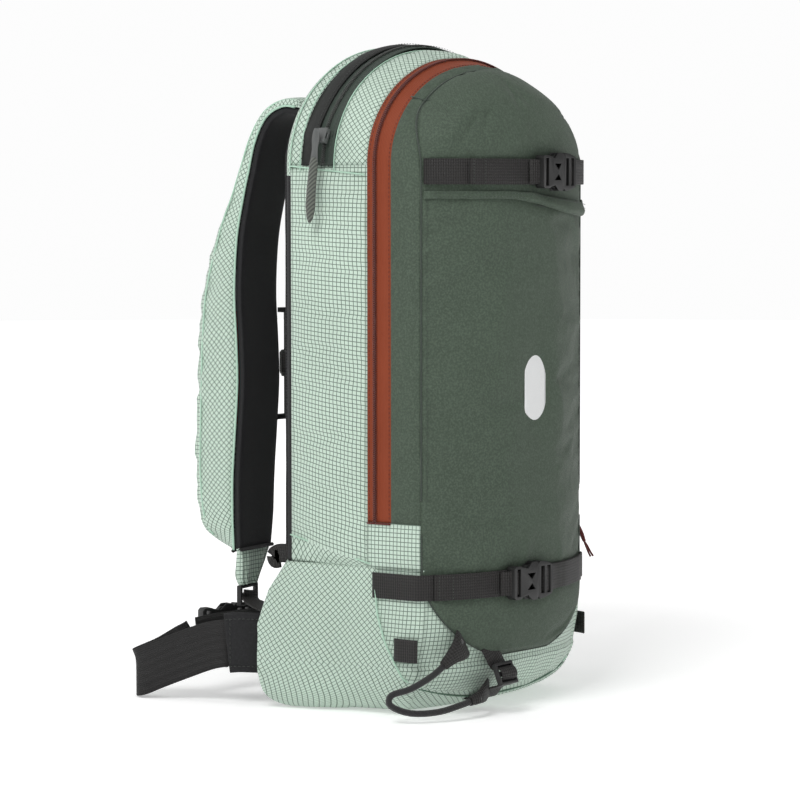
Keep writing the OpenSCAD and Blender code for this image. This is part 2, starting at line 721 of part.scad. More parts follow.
// The block that holds the cartridges and the duct, with two ears for the pivot of the lever
module inflator_head() color("#8b8f94") placed() difference() {
    union() {
        translate([-12, -cartridge_depth - 15, head_low]) cube([114, 30, head_high - head_low]);
        for (x = [56, 69]) translate([x, lever_y - 5, head_high - 1]) cube([3, 10, 28]);
    }
    for (x = cartridge_x) translate([x, -cartridge_depth, head_low - 1]) {
        cylinder(r = neck_radius + neck_play, h = 15);
        cylinder(r = pin_radius + pin_play, h = 60);
    }
    translate([duct_x, -cartridge_depth, head_low + 12]) cylinder(r = duct_bore, h = 40);
    translate([50, lever_y, lever_axis_height]) rotate([0, 90, 0])
        cylinder(r = pivot_radius + pivot_play, h = 30);
}

module gas_cartridges() color("#c9ccd0") placed()
    for (x = cartridge_x) translate([x, -cartridge_depth, 0])
        rotate_extrude($fn = 48) polygon([[0, head_low - 18 - cartridge_length],
            [cartridge_radius - 6, head_low - 18 - cartridge_length],
            [cartridge_radius, head_low - 12 - cartridge_length], [cartridge_radius, head_low - 18],
            [neck_radius, head_low - 6], [neck_radius, head_low + 12], [0, head_low + 12]]);

// Hub, pivot, the long arm that the cable pulls and the short arm that presses the pins
module firing_lever() color("#b03a2e") placed()
    translate([64, lever_y, lever_axis_height]) rotate([0, 90, 0]) {
    cylinder(r = 5, h = 9.2, center = true);
    cylinder(r = pivot_radius, h = 18, center = true);
    rotate([0, 0, -30]) translate([-2, 3, -4]) cube([4, 23, 8]);
    rotate([0, 0, -15]) translate([-2.2, -15, -4]) cube([4.4, 12, 8]);
}

carrier_low = 298;
carrier_side = 8;
pin_low = 272;
module piercing_pins() color("#d0d2d4") placed() {
    translate([cartridge_x[0] - 6, -cartridge_depth - carrier_side / 2, carrier_low])
        cube([cartridge_x[1] - cartridge_x[0] + 12, carrier_side, carrier_side]);
    for (x = cartridge_x) translate([x, -cartridge_depth, pin_low])
        cylinder(r = pin_radius, h = carrier_low - pin_low + 1);
}

duct_wall = 1.5;
duct_length = 112;
seat_low = 47;
seat_high = 50;
// A tube with a seat inside for the valve flap
module air_duct() color("#3c3f42") placed()
    translate([duct_x, -cartridge_depth, head_high + gap]) difference() {
    cylinder(r = duct_radius, h = duct_length);
    translate([0, 0, -1]) cylinder(r = duct_radius - duct_wall, h = seat_low + 1);
    translate([0, 0, seat_low - 2]) cylinder(r = 7, h = 10);
    translate([0, 0, seat_high]) cylinder(r = duct_radius - duct_wall, h = duct_length);
}

flap_height = 341;
flap_size = [21, 17, 1.2];
flap_pivot_radius = 0.9;
module valve_flap() color("#c9452f") placed() translate([duct_x - 11, -cartridge_depth, flap_height]) {
    translate([0, -flap_size[1] / 2, 0]) cube(flap_size);
    translate([0.6, 8, flap_pivot_radius]) rotate([90, 0, 0]) cylinder(r = flap_pivot_radius, h = 16);
}

// ---------- Trigger ----------

port = [-57, 0, 489];
handle_x = -84;
handle_y = 86;
ferrule_low = 312;
ferrule_high = 346;
cable_radius = 2.5;
core_radius = 1;
gland_x = 64;
gland_y = -13.5;
gland_low = 332;
gland_high = 378;

cable_route = [[-84, 86, 346.4], [-84, 86, 350], [-82, 87.5, 357], [-79, 89, 364], [-74, 89.5, 376],
    [-70, 86.5, 392], [-67, 82, 406], [-65.5, 77.5, 422], [-63.5, 72, 441], [-62, 67, 459],
    [-61, 60.5, 474], [-60, 53, 481.5], [-59.5, 44, 487.3],
    [-59, 31, 493], [-58, 20, 492], [-58, 10, 489.5], [-57, 2, 489], [-57, -4, 487], [-56, -10, 480],
    [-54, -12, 468], [-48, -12, 450], [-32, -12, 430], [-8, -12, 416], [18, -12, 406], [42, -12.5, 396],
    [58, -13, 389], [63.5, -13.5, 382], [64, -13.5, 378.4]];
module trigger_cable() color("#1a1a1c") placed() tube_along(smooth(cable_route, 3), cable_radius, 8);

// A metal sleeve, closed at its upper end, that the core of the cable slides in
ferrule_radius = 3.5;
core_play = 0.3;
module ferrule(length) difference() {
    cylinder(r = ferrule_radius, h = length);
    translate([0, 0, -1]) cylinder(r = core_radius + core_play, h = length - 1);
}

module cable_ferrules() color("#9a9da1") placed() {
    translate([handle_x, handle_y, ferrule_low]) ferrule(ferrule_high - ferrule_low);
    translate([gland_x, gland_y, gland_low]) ferrule(gland_high - gland_low);
}

// Radius and lowest and highest height of the knob, the grip, the neck and the core of the handle
handle_parts = [[11, 220, 227], [8, 226, 300], [5, 299, 306], [core_radius, 305, 341]];
module trigger_handle() color("#c8352b") placed() translate([handle_x, handle_y, 0])
    for (p = handle_parts) translate([0, 0, p[1]]) cylinder(r = p[0], h = p[2] - p[1]);

back_pad();
back_wall();
frame_sheet();
frame_stay();
side_panel_left();
side_panel_right();
top_panel_rear();
top_panel_front();
base_boot();
lower_front_panel();
zip_end_patches();
divider();
tool_sleeves();
front_zip_tape_inner();
front_zip_tape_outer();
gusset_strip();
front_panel();
pocket_lip();
upper_strap();
upper_buckle_female();
upper_buckle_male();
lower_strap();
lower_buckle_female();
lower_buckle_male();
front_zip_slider();
front_zip_puller();
top_zip_tape();
top_zip_flap();
top_zip_slider();
top_zip_puller();
haul_loop();
tool_loop();
tool_loop_adjuster();
ski_tabs();
left_strap_pad();
left_strap_cover();
right_strap_pad();
right_strap_cover();
ladder_locks();
strap_webbing();
sternum_rails();
sternum_strap();
sternum_buckle_female();
sternum_buckle_male();
hip_wings();
hip_webbing();
hip_buckle_female();
hip_buckle_male();
airbag();
inflator_head();
gas_cartridges();
firing_lever();
piercing_pins();
air_duct();
valve_flap();
trigger_cable();
cable_ferrules();
trigger_handle();
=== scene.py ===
"""Looks of the avalanche airbag backpack, built around the CAD frame. Lengths are in mm unless stated."""
import math

import bmesh
import bpy
import numpy as np
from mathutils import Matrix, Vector, noise


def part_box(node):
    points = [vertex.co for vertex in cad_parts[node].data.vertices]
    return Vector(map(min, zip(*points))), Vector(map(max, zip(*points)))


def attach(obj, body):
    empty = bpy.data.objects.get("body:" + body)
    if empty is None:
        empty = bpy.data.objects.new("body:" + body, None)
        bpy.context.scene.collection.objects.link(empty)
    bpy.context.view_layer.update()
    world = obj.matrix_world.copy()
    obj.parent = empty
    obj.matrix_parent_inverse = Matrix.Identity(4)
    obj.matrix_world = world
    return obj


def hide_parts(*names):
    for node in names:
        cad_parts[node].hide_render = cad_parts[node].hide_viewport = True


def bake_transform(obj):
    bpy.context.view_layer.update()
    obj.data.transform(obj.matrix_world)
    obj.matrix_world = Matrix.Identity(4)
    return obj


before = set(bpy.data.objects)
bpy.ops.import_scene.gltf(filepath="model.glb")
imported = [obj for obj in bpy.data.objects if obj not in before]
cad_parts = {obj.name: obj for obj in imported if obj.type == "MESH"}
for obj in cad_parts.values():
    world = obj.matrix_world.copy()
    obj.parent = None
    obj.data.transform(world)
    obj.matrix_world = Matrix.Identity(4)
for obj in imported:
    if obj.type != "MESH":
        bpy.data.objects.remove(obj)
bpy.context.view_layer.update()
MM = 0.001

# ---------- Main sizes of the pack, as in the CAD frame; t is the depth from the back wall ----------

BACK_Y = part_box("back_wall")[1].y / MM              # where t is 0
BACK_HALF = 120.0                                   # half width at the back
FRONT_HALF = 98.0                                   # half width at the seam round the front
SEAM = 128.0                                        # depth of that seam
BULGE = 28.0                                        # how far the front stands out from it
ARCH = 430.0                                        # height where the sides turn into the arch
PACK_TOP = 525.0
DOME = PACK_TOP - 0.0019 * (SEAM - 10) ** 2 - ARCH  # height of the arch at the seam
BOOT = 118.0                                        # top of the mint base
PANEL_LOW = 46.0                                    # lowest point of the green front
ZIP_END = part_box("front_zip_tape_inner")[0].z / MM
FOLD = ZIP_END - 3                                  # where the front folds down
TAPE_INNER = 80.0                                   # depths of the front zip: both edges and its coil
COIL = 87.0
TAPE_OUTER = 101.0
TOP_COIL = 41.0                                     # depth of the top zip's coil
BACK_EDGE = 9.5                                     # depth where the side fabric meets the back binding
BACK_ROUND = 12.0                                   # radius of the back edges
PAD_HALF = 109.0                                    # half width of the back pad
CHANNELS = (110, 190, 270, 350, 430)                # heights of the sewn channels of the back pad
UPPER_STRAP = 425.0                                 # heights of the compression straps
LOWER_STRAP = 104.0
LIP_TOP = 410.0                                     # top of the stretch pocket's hem
MARK = (4.0, 256.0)                                 # middle of the reflective mark: x, z


# ---------- Camera first ----------

def add_object(name, data):
    made = bpy.data.objects.new(name, data)
    bpy.context.scene.collection.objects.link(made)
    return made


def aim(thing, place, target):
    """Puts a camera or lamp at a place, in metres, looking at a target."""
    thing.location = place
    thing.rotation_euler = (Vector(target) - Vector(place)).to_track_quat("-Z", "Y").to_euler()


def make_camera():
    azimuth, elevation, distance = math.radians(-49), math.radians(3.5), 2.4
    target = Vector((0, 0, 0.265))
    away = Vector((math.sin(azimuth) * math.cos(elevation), -math.cos(azimuth) * math.cos(elevation),
                   math.sin(elevation)))
    data = bpy.data.cameras.new("camera")
    data.sensor_width = 36
    data.lens = 133.6
    data.shift_x = -0.0474
    data.shift_y = -0.0368
    camera = add_object("camera", data)
    aim(camera, target + away * distance, target)
    bpy.context.scene.camera = camera


make_camera()


# ---------- Node helpers for the materials ----------

class Shader:
    """A small wrapper round a node tree."""

    def __init__(self, name, roughness, specular=0.5, metallic=0.0, sheen=0.0, coat=0.0):
        self.material = bpy.data.materials.new(name)
        self.material.use_nodes = True
        self.tree = self.material.node_tree
        self.out = self.tree.nodes["Principled BSDF"]
        self.out.inputs["Roughness"].default_value = roughness
        self.out.inputs["Specular IOR Level"].default_value = specular
        self.out.inputs["Metallic"].default_value = metallic
        self.out.inputs["Sheen Weight"].default_value = sheen
        self.out.inputs["Sheen Roughness"].default_value = 0.45
        self.out.inputs["Coat Weight"].default_value = coat

    def node(self, kind, inputs=None, **settings):
        made = self.tree.nodes.new("ShaderNode" + kind)
        for key, value in settings.items():
            setattr(made, key, value)
        for key, value in (inputs or {}).items():
            if isinstance(value, bpy.types.NodeSocket):
                self.tree.links.new(value, made.inputs[key])
            else:
                made.inputs[key].default_value = value
        return made

    def math(self, operation, a, b=0.0):
        return self.node("Math", {0: a, 1: b}, operation=operation).outputs[0]

    def uv(self, angle=0.0):
        """UV coordinates, which are in metres on the cloth, turned by an angle in degrees: x and y."""
        place = self.node("TexCoord").outputs["UV"]
        turned = self.node("Mapping", {"Vector": place, "Rotation": (0, 0, math.radians(angle))}).outputs[0]
        parts = self.node("SeparateXYZ", {0: turned})
        return parts.outputs[0], parts.outputs[1]

    def place(self):
        return self.node("TexCoord").outputs["Object"]

    def ridge(self, value, pitch):
        """0 to 1 and back over every pitch."""
        scaled = self.math("DIVIDE", value, pitch * MM)
        return self.math("MULTIPLY", self.math("PINGPONG", scaled, 0.5), 2.0)

    def line(self, value, pitch, width):
        """1 on thin lines a pitch apart, soft at their edges."""
        ridge = self.ridge(value, pitch)
        return self.node("MapRange", {0: ridge, 1: 1 - width / pitch, 2: 1 - 0.4 * width / pitch}).outputs[0]

    def noise(self, scale, detail=3.0, vector=None):
        inputs = {"Vector": vector or self.place(), "Scale": scale, "Detail": detail}
        return self.node("TexNoise", inputs).outputs[0]

    def mix(self, factor, a, b):
        def colour(value):
            return (*value, 1.0) if isinstance(value, tuple) else value
        return self.node("Mix", {0: factor, 6: colour(a), 7: colour(b)}, data_type="RGBA").outputs[2]

    def bump(self, height, distance):
        made = self.node("Bump", {"Height": height, "Distance": distance * MM, "Strength": 1.0})
        self.tree.links.new(made.outputs[0], self.out.inputs["Normal"])

    def colour(self, socket):
        self.tree.links.new(socket, self.out.inputs["Base Color"])

    def rough(self, socket, low, high):
        made = self.node("MapRange", {0: socket, 3: low, 4: high}).outputs[0]
        self.tree.links.new(made, self.out.inputs["Roughness"])


def shade(colour, factor):
    return tuple(min(1.0, c * factor) for c in colour)


def ripstop(name, angle):
    """Mint fabric with a woven grid of darker green thread."""
    mint, thread = (0.58, 0.71, 0.61), (0.05, 0.10, 0.065)
    s = Shader(name, 0.5, 0.4, sheen=0.12)
    u, v = s.uv(angle)
    lines = s.math("MAXIMUM", s.line(u, 3.4, 0.8), s.line(v, 3.4, 0.8))
    weave = s.math("MAXIMUM", s.ridge(u, 0.55), s.ridge(v, 0.55))
    # cloud gives lighter and darker patches of the mint: partly tone of the cloth, partly painted shading
    cloud = s.noise(9.0)
    base = s.mix(cloud, shade(mint, 0.82), shade(mint, 1.07))
    base = s.mix(s.math("MULTIPLY", weave, 0.25), base, shade(mint, 0.66))
    s.colour(s.mix(s.math("MULTIPLY", lines, 0.92), base, thread))
    s.rough(cloud, 0.42, 0.58)
    s.bump(s.math("ADD", s.math("MULTIPLY", lines, 0.8), s.math("MULTIPLY", weave, 0.25)), 0.16)
    return s.material


def twill(name, colour, pitch=0.9, sheen=0.08, contrast=0.25, depth=0.12):
    """Plain dense fabric with a fine diagonal rib and a grain of paler yarns."""
    s = Shader(name, 0.66, 0.22, sheen=sheen)
    u, v = s.uv(45)
    rib = s.ridge(u, pitch)
    cross = s.ridge(v, pitch * 0.8)
    cloud = s.noise(7.0, 4.0)
    fleck = s.math("MULTIPLY", s.math("SUBTRACT", s.noise(640.0, 2.0), 0.4), 5.0)
    worn = s.noise(45.0, 5.0)
    base = s.mix(cloud, shade(colour, 0.82), shade(colour, 1.18))
    base = s.mix(s.math("MULTIPLY", worn, 0.3), base, shade(colour, 1.3))
    base = s.mix(s.math("MULTIPLY", rib, contrast), base, shade(colour, 0.62))
    s.colour(s.mix(s.math("MULTIPLY", fleck, 0.45), base, shade(colour, 1.7)))
    s.rough(cloud, 0.52, 0.72)
    s.bump(s.math("ADD", rib, s.math("MULTIPLY", cross, 0.5)), depth)
    return s.material


def webbing(name, colour=(0.030, 0.028, 0.027), pitch=2.0, across=2.2, herringbone=False):
    """Woven strap: ribs across it or a herringbone, cut by lengthwise yarns. UV x is across, y along."""
    s = Shader(name, 0.6, 0.3, sheen=0.04)
    u, v = s.uv()
    if herringbone:
        fold = s.math("PINGPONG", s.math("DIVIDE", u, 3.2 * MM), 1.0)
        slant = s.math("ADD", s.math("MULTIPLY", fold, 3.2 * MM), v)
        ribs = s.ridge(slant, pitch)
    else:
        ribs = s.ridge(v, pitch)
    yarns = s.ridge(u, across)
    height = s.math("ADD", ribs, s.math("MULTIPLY", yarns, 0.6))
    cloud = s.noise(30.0)
    base = s.mix(cloud, shade(colour, 0.85), shade(colour, 1.3))
    s.colour(s.mix(s.math("MULTIPLY", height, 0.62), shade(colour, 0.2), base))
    s.rough(cloud, 0.45, 0.65)
    s.bump(height, 0.4)
    return s.material


def tape(name, colour):
    """Zip tape: fine ribs along the zip. UV x is across the tape."""
    s = Shader(name, 0.6, 0.25, sheen=0.08)
    u, v = s.uv()
    rib = s.ridge(u, 1.3)
    knit = s.ridge(v, 0.9)
    cloud = s.noise(20.0)
    base = s.mix(cloud, shade(colour, 0.9), shade(colour, 1.12))
    s.colour(s.mix(s.math("MULTIPLY", rib, 0.3), base, shade(colour, 0.55)))
    s.bump(s.math("ADD", rib, s.math("MULTIPLY", knit, 0.4)), 0.18)
    return s.material


def plastic(name, colour, roughness=0.42):
    """Moulded nylon with a fine spark texture, paler on rubbed places."""
    s = Shader(name, roughness, 0.5)
    grain = s.noise(2600.0, 2.0)
    cloud = s.noise(60.0, 3.0)
    s.colour(s.mix(cloud, shade(colour, 0.8), shade(colour, 1.45)))
    s.rough(cloud, roughness - 0.07, roughness + 0.14)
    s.bump(grain, 0.05)
    return s.material


def metal(name, colour, roughness=0.3, brushed=True):
    """Metal with a grain, which is drawn out along z where it is brushed."""
    s = Shader(name, roughness, 0.5, metallic=1.0)
    grain = (60, 60, 1200) if brushed else (300, 300, 300)
    stretched = s.node("Mapping", {"Vector": s.place(), "Scale": grain})
    grain = s.noise(4.0, 4.0, stretched.outputs[0])
    s.colour(s.mix(grain, shade(colour, 0.78), shade(colour, 1.08)))
    s.rough(grain, roughness - 0.08, roughness + 0.16)
    s.bump(grain, 0.02)
    return s.material


def spacer_mesh(name, colour):
    """Open knitted air mesh, hexagonal holes a few millimetres apart."""
    s = Shader(name, 0.8, 0.2, sheen=0.06)
    holes = s.node("TexVoronoi", {"Vector": s.place(), "Scale": 420.0, "Randomness": 0.25},
                   feature="F1").outputs[0]
    wall = s.node("MapRange", {0: holes, 1: 0.15, 2: 0.6}).outputs[0]
    cloud = s.noise(12.0)
    base = s.mix(cloud, shade(colour, 0.85), shade(colour, 1.2))
    s.colour(s.mix(wall, shade(colour, 0.35), base))
    s.bump(wall, 0.5)
    return s.material


def braid(name, colour, other, pitch=2.2):
    """Braided cord: slanted strands in two tones, in object space."""
    s = Shader(name, 0.6, 0.35, sheen=0.3)
    parts = s.node("SeparateXYZ", {0: s.place()})
    a = s.ridge(s.math("ADD", parts.outputs[2], s.math("MULTIPLY", parts.outputs[0], 0.9)), pitch)
    b = s.ridge(s.math("SUBTRACT", parts.outputs[2], s.math("MULTIPLY", parts.outputs[1], 0.9)), pitch)
    weave = s.math("MAXIMUM", a, b)
    s.colour(s.mix(weave, other, colour))
    s.bump(weave, 0.3)
    return s.material


def striped_sleeve(name):
    """Woven puller sleeve in two greys, striped along its length."""
    s = Shader(name, 0.65, 0.3, sheen=0.3)
    parts = s.node("SeparateXYZ", {0: s.place()})
    slant = s.math("ADD", parts.outputs[2], s.math("MULTIPLY", parts.outputs[1], 0.8))
    rib = s.ridge(slant, 3.4)
    fine = s.ridge(parts.outputs[2], 0.8)
    s.colour(s.mix(rib, (0.03, 0.032, 0.03), (0.13, 0.145, 0.12)))
    s.bump(s.math("ADD", rib, s.math("MULTIPLY", fine, 0.5)), 0.25)
    return s.material


def reflective(name):
    """Printed reflective film: pale grey with tiny glass beads."""
    s = Shader(name, 0.35, 0.6)
    beads = s.noise(3500.0, 1.0)
    s.colour(s.mix(beads, (0.62, 0.63, 0.63), (0.80, 0.81, 0.81)))
    s.bump(beads, 0.03)
    return s.material


def thread(name, colour):
    s = Shader(name, 0.6, 0.3, sheen=0.3)
    twist = s.noise(1500.0, 2.0)
    s.colour(s.mix(twist, shade(colour, 0.7), shade(colour, 1.2)))
    s.bump(twist, 0.06)
    return s.material


GREEN = (0.054, 0.075, 0.054)

# Each look: its material and the record's material slot
LOOKS = {
    "mint_straight": (ripstop("mint_straight", 0), "mint_ripstop"),
    "mint_bias": (ripstop("mint_bias", 45), "mint_ripstop"),
    "green": (twill("green_twill", GREEN), "green_twill"),
    # A darker copy of the green twill for the side-facing gusset strip: painted shade on that side
    "green_side_shaded": (twill("green_twill_side_shaded", shade(GREEN, 0.96)), "green_twill"),
    "orange": (tape("orange_tape", (0.24, 0.043, 0.013)), "orange_tape"),
    "coil": (thread("dark_red_coil", (0.10, 0.012, 0.006)), "orange_tape"),
    "dark_tape": (tape("dark_tape", (0.045, 0.062, 0.05)), "dark_tape"),
    "coated": (twill("coated_flap", (0.018, 0.019, 0.018), 0.5, 0.05, 0.1, 0.03), "black_fabric"),
    "lining": (twill("black_lining", (0.013, 0.013, 0.014), 0.8, 0.05), "black_fabric"),
    "binding": (webbing("black_binding", (0.03, 0.03, 0.031), 0.7, 0.7), "black_fabric"),
    "webbing": (webbing("black_webbing"), "black_webbing"),
    "belt": (webbing("belt_webbing", (0.024, 0.023, 0.023), 1.2, 1.6, True), "black_webbing"),
    "mesh": (spacer_mesh("spacer_mesh", (0.03, 0.03, 0.032)), "spacer_mesh"),
    "airbag": (twill("airbag_nylon", (0.62, 0.13, 0.03), 0.7, 0.2, 0.15), "airbag_nylon"),
    "sleeves": (twill("sleeve_fabric", (0.55, 0.19, 0.035), 0.9, 0.2, 0.2), "sleeve_fabric"),
    "divider": (twill("divider_fabric", (0.10, 0.105, 0.108), 0.9, 0.2, 0.2), "black_fabric"),
    "red_cord": (braid("red_cord", (0.14, 0.012, 0.012), (0.05, 0.006, 0.006), 1.2), "red_cord"),
    "puller_sleeve": (striped_sleeve("puller_sleeve"), "puller_cord"),
    "black_plastic": (plastic("black_plastic", (0.009, 0.009, 0.009)), "black_plastic"),
    "grey_plastic": (plastic("grey_plastic", (0.075, 0.08, 0.078)), "grey_plastic"),
    "hdpe": (plastic("black_sheet", (0.02, 0.02, 0.021), 0.5), "hdpe"),
    "stay_metal": (metal("stay_metal", (0.55, 0.56, 0.58), 0.35), "stay_metal"),
    "head_metal": (metal("head_metal", (0.32, 0.33, 0.35), 0.4, False), "head_metal"),
    "cartridge": (metal("cartridge_steel", (0.62, 0.63, 0.65), 0.25), "cartridge_steel"),
    "pin_metal": (metal("pin_steel", (0.7, 0.7, 0.72), 0.2), "pin_steel"),
    "lever": (plastic("lever_red", (0.35, 0.03, 0.02)), "lever_red"),
    "trigger": (plastic("trigger_red", (0.45, 0.035, 0.02)), "trigger_plastic"),
    "rubber": (plastic("flap_rubber", (0.35, 0.05, 0.03), 0.6), "flap_rubber"),
    "cable": (braid("cable_black", (0.02, 0.02, 0.021), (0.008, 0.008, 0.008), 1.4), "cable_black"),
    "mark": (reflective("reflective_mark"), "grey_plastic"),
    "green_thread": (thread("green_thread", (0.035, 0.05, 0.038)), "green_twill"),
    "mint_thread": (thread("mint_thread", (0.42, 0.62, 0.49)), "mint_ripstop"),
    # Dark green cord on the front seam of the bottom: a real seam, coloured as painted shadow along it
    "painted_seam_shadow": (thread("painted_seam_shadow", (0.10, 0.19, 0.13)), "mint_ripstop"),
    "dark_thread": (thread("dark_thread", (0.03, 0.035, 0.03)), "black_webbing"),
}


# ---------- Shape of the pack ----------

def half_width(t):
    """Half width of the straight sides at a depth."""
    return BACK_HALF - (BACK_HALF - FRONT_HALF) * t / SEAM


def arch_top(t):
    """Height of the arch's crest at a depth."""
    return PACK_TOP - 0.0019 * (t - 10) ** 2


def edge_inset(z, radius):
    """How far a rounded bottom edge has drawn in at a height."""
    return np.where(z < radius, radius - np.sqrt(np.maximum(0, radius ** 2 - (radius - z) ** 2)), 0.0)


def dome(z):
    """Share of its full width that the front has at a height."""
    return np.where(z > ARCH, np.sqrt(np.maximum(0, 1 - ((z - ARCH) / DOME) ** 2)), 1.0)


def bow(u):
    """Cross-section of the front: 1 in the middle, 0 at u = -1 and 1."""
    return 1 - np.abs(u) ** 2.6


def front_depth(u, z):
    """Depth of the green front at a share u of its half width."""
    low = edge_inset(z, 90)
    return SEAM - low * 0.5 + BULGE * bow(u) * dome(z) - low * 0.22 * bow(u)


def front_half(z):
    """Half width of the front at a height."""
    straight = FRONT_HALF + 1.5 * np.sin(np.minimum(np.pi, np.pi * z / BOOT)) - edge_inset(z, 34)
    return np.where(z > ARCH, FRONT_HALF * dome(z), straight)


def on_front(x, z, stand_off=0.0):
    """A point a little in front of the front panel: x, t, z."""
    u = x / (FRONT_HALF * max(0.05, float(dome(z))))
    return np.array([x, front_depth(u, z) + stand_off, z], float)


def metres(points):
    """Points given as x, t, z in mm, in the shared frame in metres."""
    p = np.asarray(points, float)
    return np.stack([p[..., 0] * MM, (BACK_Y - p[..., 1]) * MM, p[..., 2] * MM], -1)


def unit(vectors):
    return vectors / np.maximum(1e-12, np.linalg.norm(vectors, axis=-1, keepdims=True))


def hump(value, middle, wide):
    """A smooth bump: 1 in the middle, close to 0 beyond twice its width."""
    return np.exp(-((value - middle) / wide) ** 2)


def squared(value, power):
    """A sine or cosine pushed towards -1 and 1, which turns a circle into a rounded rectangle."""
    return math.copysign(abs(value) ** power, value)


# ---------- Mesh helpers ----------

def make_object(name, vertices, faces, uvs=None, materials=()):
    mesh = bpy.data.meshes.new(name)
    mesh.from_pydata([tuple(v) for v in vertices], [], [tuple(f) for f in faces])
    mesh.polygons.foreach_set("use_smooth", [True] * len(mesh.polygons))
    if uvs is not None:
        layer = mesh.uv_layers.new(name="UVMap")
        loops = np.zeros(len(mesh.loops), int)
        mesh.loops.foreach_get("vertex_index", loops)
        layer.data.foreach_set("uv", np.asarray(uvs, float)[loops].ravel())
    for look in materials:
        mesh.materials.append(LOOKS[look][0])
    return add_object(name, mesh)


def grid_faces(rows, cols, wrap=False, start=0):
    """Quads of a grid of vertices, row by row. wrap joins the last column to the first."""
    last = cols if wrap else cols - 1
    return [(start + r * cols + c, start + r * cols + (c + 1) % cols,
             start + (r + 1) * cols + (c + 1) % cols, start + (r + 1) * cols + c)
            for r in range(rows - 1) for c in range(last)]


def lengths_along(points, axis):
    steps = np.linalg.norm(np.diff(points, axis=axis), axis=-1)
    start = np.zeros_like(np.take(steps, [0], axis=axis))
    return np.concatenate([start, np.cumsum(steps, axis=axis)], axis=axis)


def distance_along(path):
    return lengths_along(path[:, None], 0)[:, 0]


def cloth_uv(points, from_top=False):
    """UV in metres for a grid of points, so that a woven grid keeps its size.

    Both run from the middle of the grid; with from_top, v runs down each column from the last row."""
    u = lengths_along(points, 1)
    u = u - u[:, u.shape[1] // 2:u.shape[1] // 2 + 1]
    v = lengths_along(points, 0)
    if from_top:
        return np.stack([u, v - v[-1:]], -1).reshape(-1, 2)
    v = np.repeat(v[:, v.shape[1] // 2:v.shape[1] // 2 + 1], v.shape[1], axis=1)
    return np.stack([u, v], -1).reshape(-1, 2)


def surface_normals(points, centre):
    """Normals of a grid of points, facing away from a centre."""
    du = np.gradient(points, axis=1)
    dv = np.gradient(points, axis=0)
    n = unit(np.cross(du, dv))
    if np.sum(n * (points - centre)) < 0:
        n = -n
    return n


def ripple(points, size, seed, stretch=(1, 1, 1)):
    """Smooth noise from -1 to 1 at points in metres, with features of about size mm."""
    shift = Vector((seed * 3.1, seed * 7.7, seed * 1.3))
    scale = np.array(stretch) / (size * MM)
    flat = points.reshape(-1, 3) * scale
    return np.array([noise.noise(Vector(p) + shift) for p in flat]).reshape(points.shape[:-1])


def creases(points, size, seed, stretch=(1, 1, 1)):
    """Noise with sharp folds, from 0 to 1."""
    return 1 - np.minimum(1, np.abs(ripple(points, size, seed, stretch)) * 2.5)


def edge_fade(rows, cols, border):
    """0 at the borders of a grid, 1 inside."""
    r = np.minimum(np.arange(rows), np.arange(rows)[::-1])[:, None]
    c = np.minimum(np.arange(cols), np.arange(cols)[::-1])[None, :]
    return np.clip(r / border, 0, 1) * np.clip(c / border, 0, 1)


PACK_MIDDLE = metres([0, 60, 265])


def relax(piece, pinned, pressure, extra, cap, frames=20):
    """Lets a cloth surface swell and crease by simulation between its pinned edges, and keeps the result.

    No vertex moves further than cap, in mm: one number, or one for each vertex."""
    before = np.zeros(len(piece.data.vertices) * 3)
    piece.data.vertices.foreach_get("co", before)
    before = before.reshape(-1, 3)
    group = piece.vertex_groups.new(name="pinned")
    group.add([int(i) for i in pinned], 1.0, "REPLACE")
    modifier = piece.modifiers.new("cloth", "CLOTH")
    settings = modifier.settings
    settings.quality = 6
    settings.mass = 0.12
    settings.tension_stiffness = 12
    settings.compression_stiffness = 12
    settings.shear_stiffness = 4
    settings.bending_stiffness = 0.15
    settings.vertex_group_mass = "pinned"
    settings.use_pressure = True
    settings.uniform_pressure_force = pressure
    settings.shrink_min = -extra
    settings.shrink_max = -extra
    settings.effector_weights.gravity = 0
    modifier.point_cache.frame_start = 1
    modifier.point_cache.frame_end = frames
    scene = bpy.context.scene
    for step in range(1, frames + 1):
        scene.frame_set(step)
    evaluated = piece.evaluated_get(bpy.context.evaluated_depsgraph_get())
    after = np.zeros(len(before) * 3)
    evaluated.data.vertices.foreach_get("co", after)
    move = after.reshape(-1, 3) - before
    far = np.linalg.norm(move, axis=1, keepdims=True)
    move *= np.minimum(1, np.reshape(cap, (-1, 1)) * MM / np.maximum(far, 1e-9))
    piece.modifiers.remove(modifier)
    piece.vertex_groups.remove(group)
    piece.data.vertices.foreach_set("co", (before + move).ravel())
    piece.data.update()
    scene.frame_set(1)


def thicken(piece, thick):
    solid = piece.modifiers.new("cloth_thickness", "SOLIDIFY")
    solid.thickness = thick * MM
    solid.offset = -1


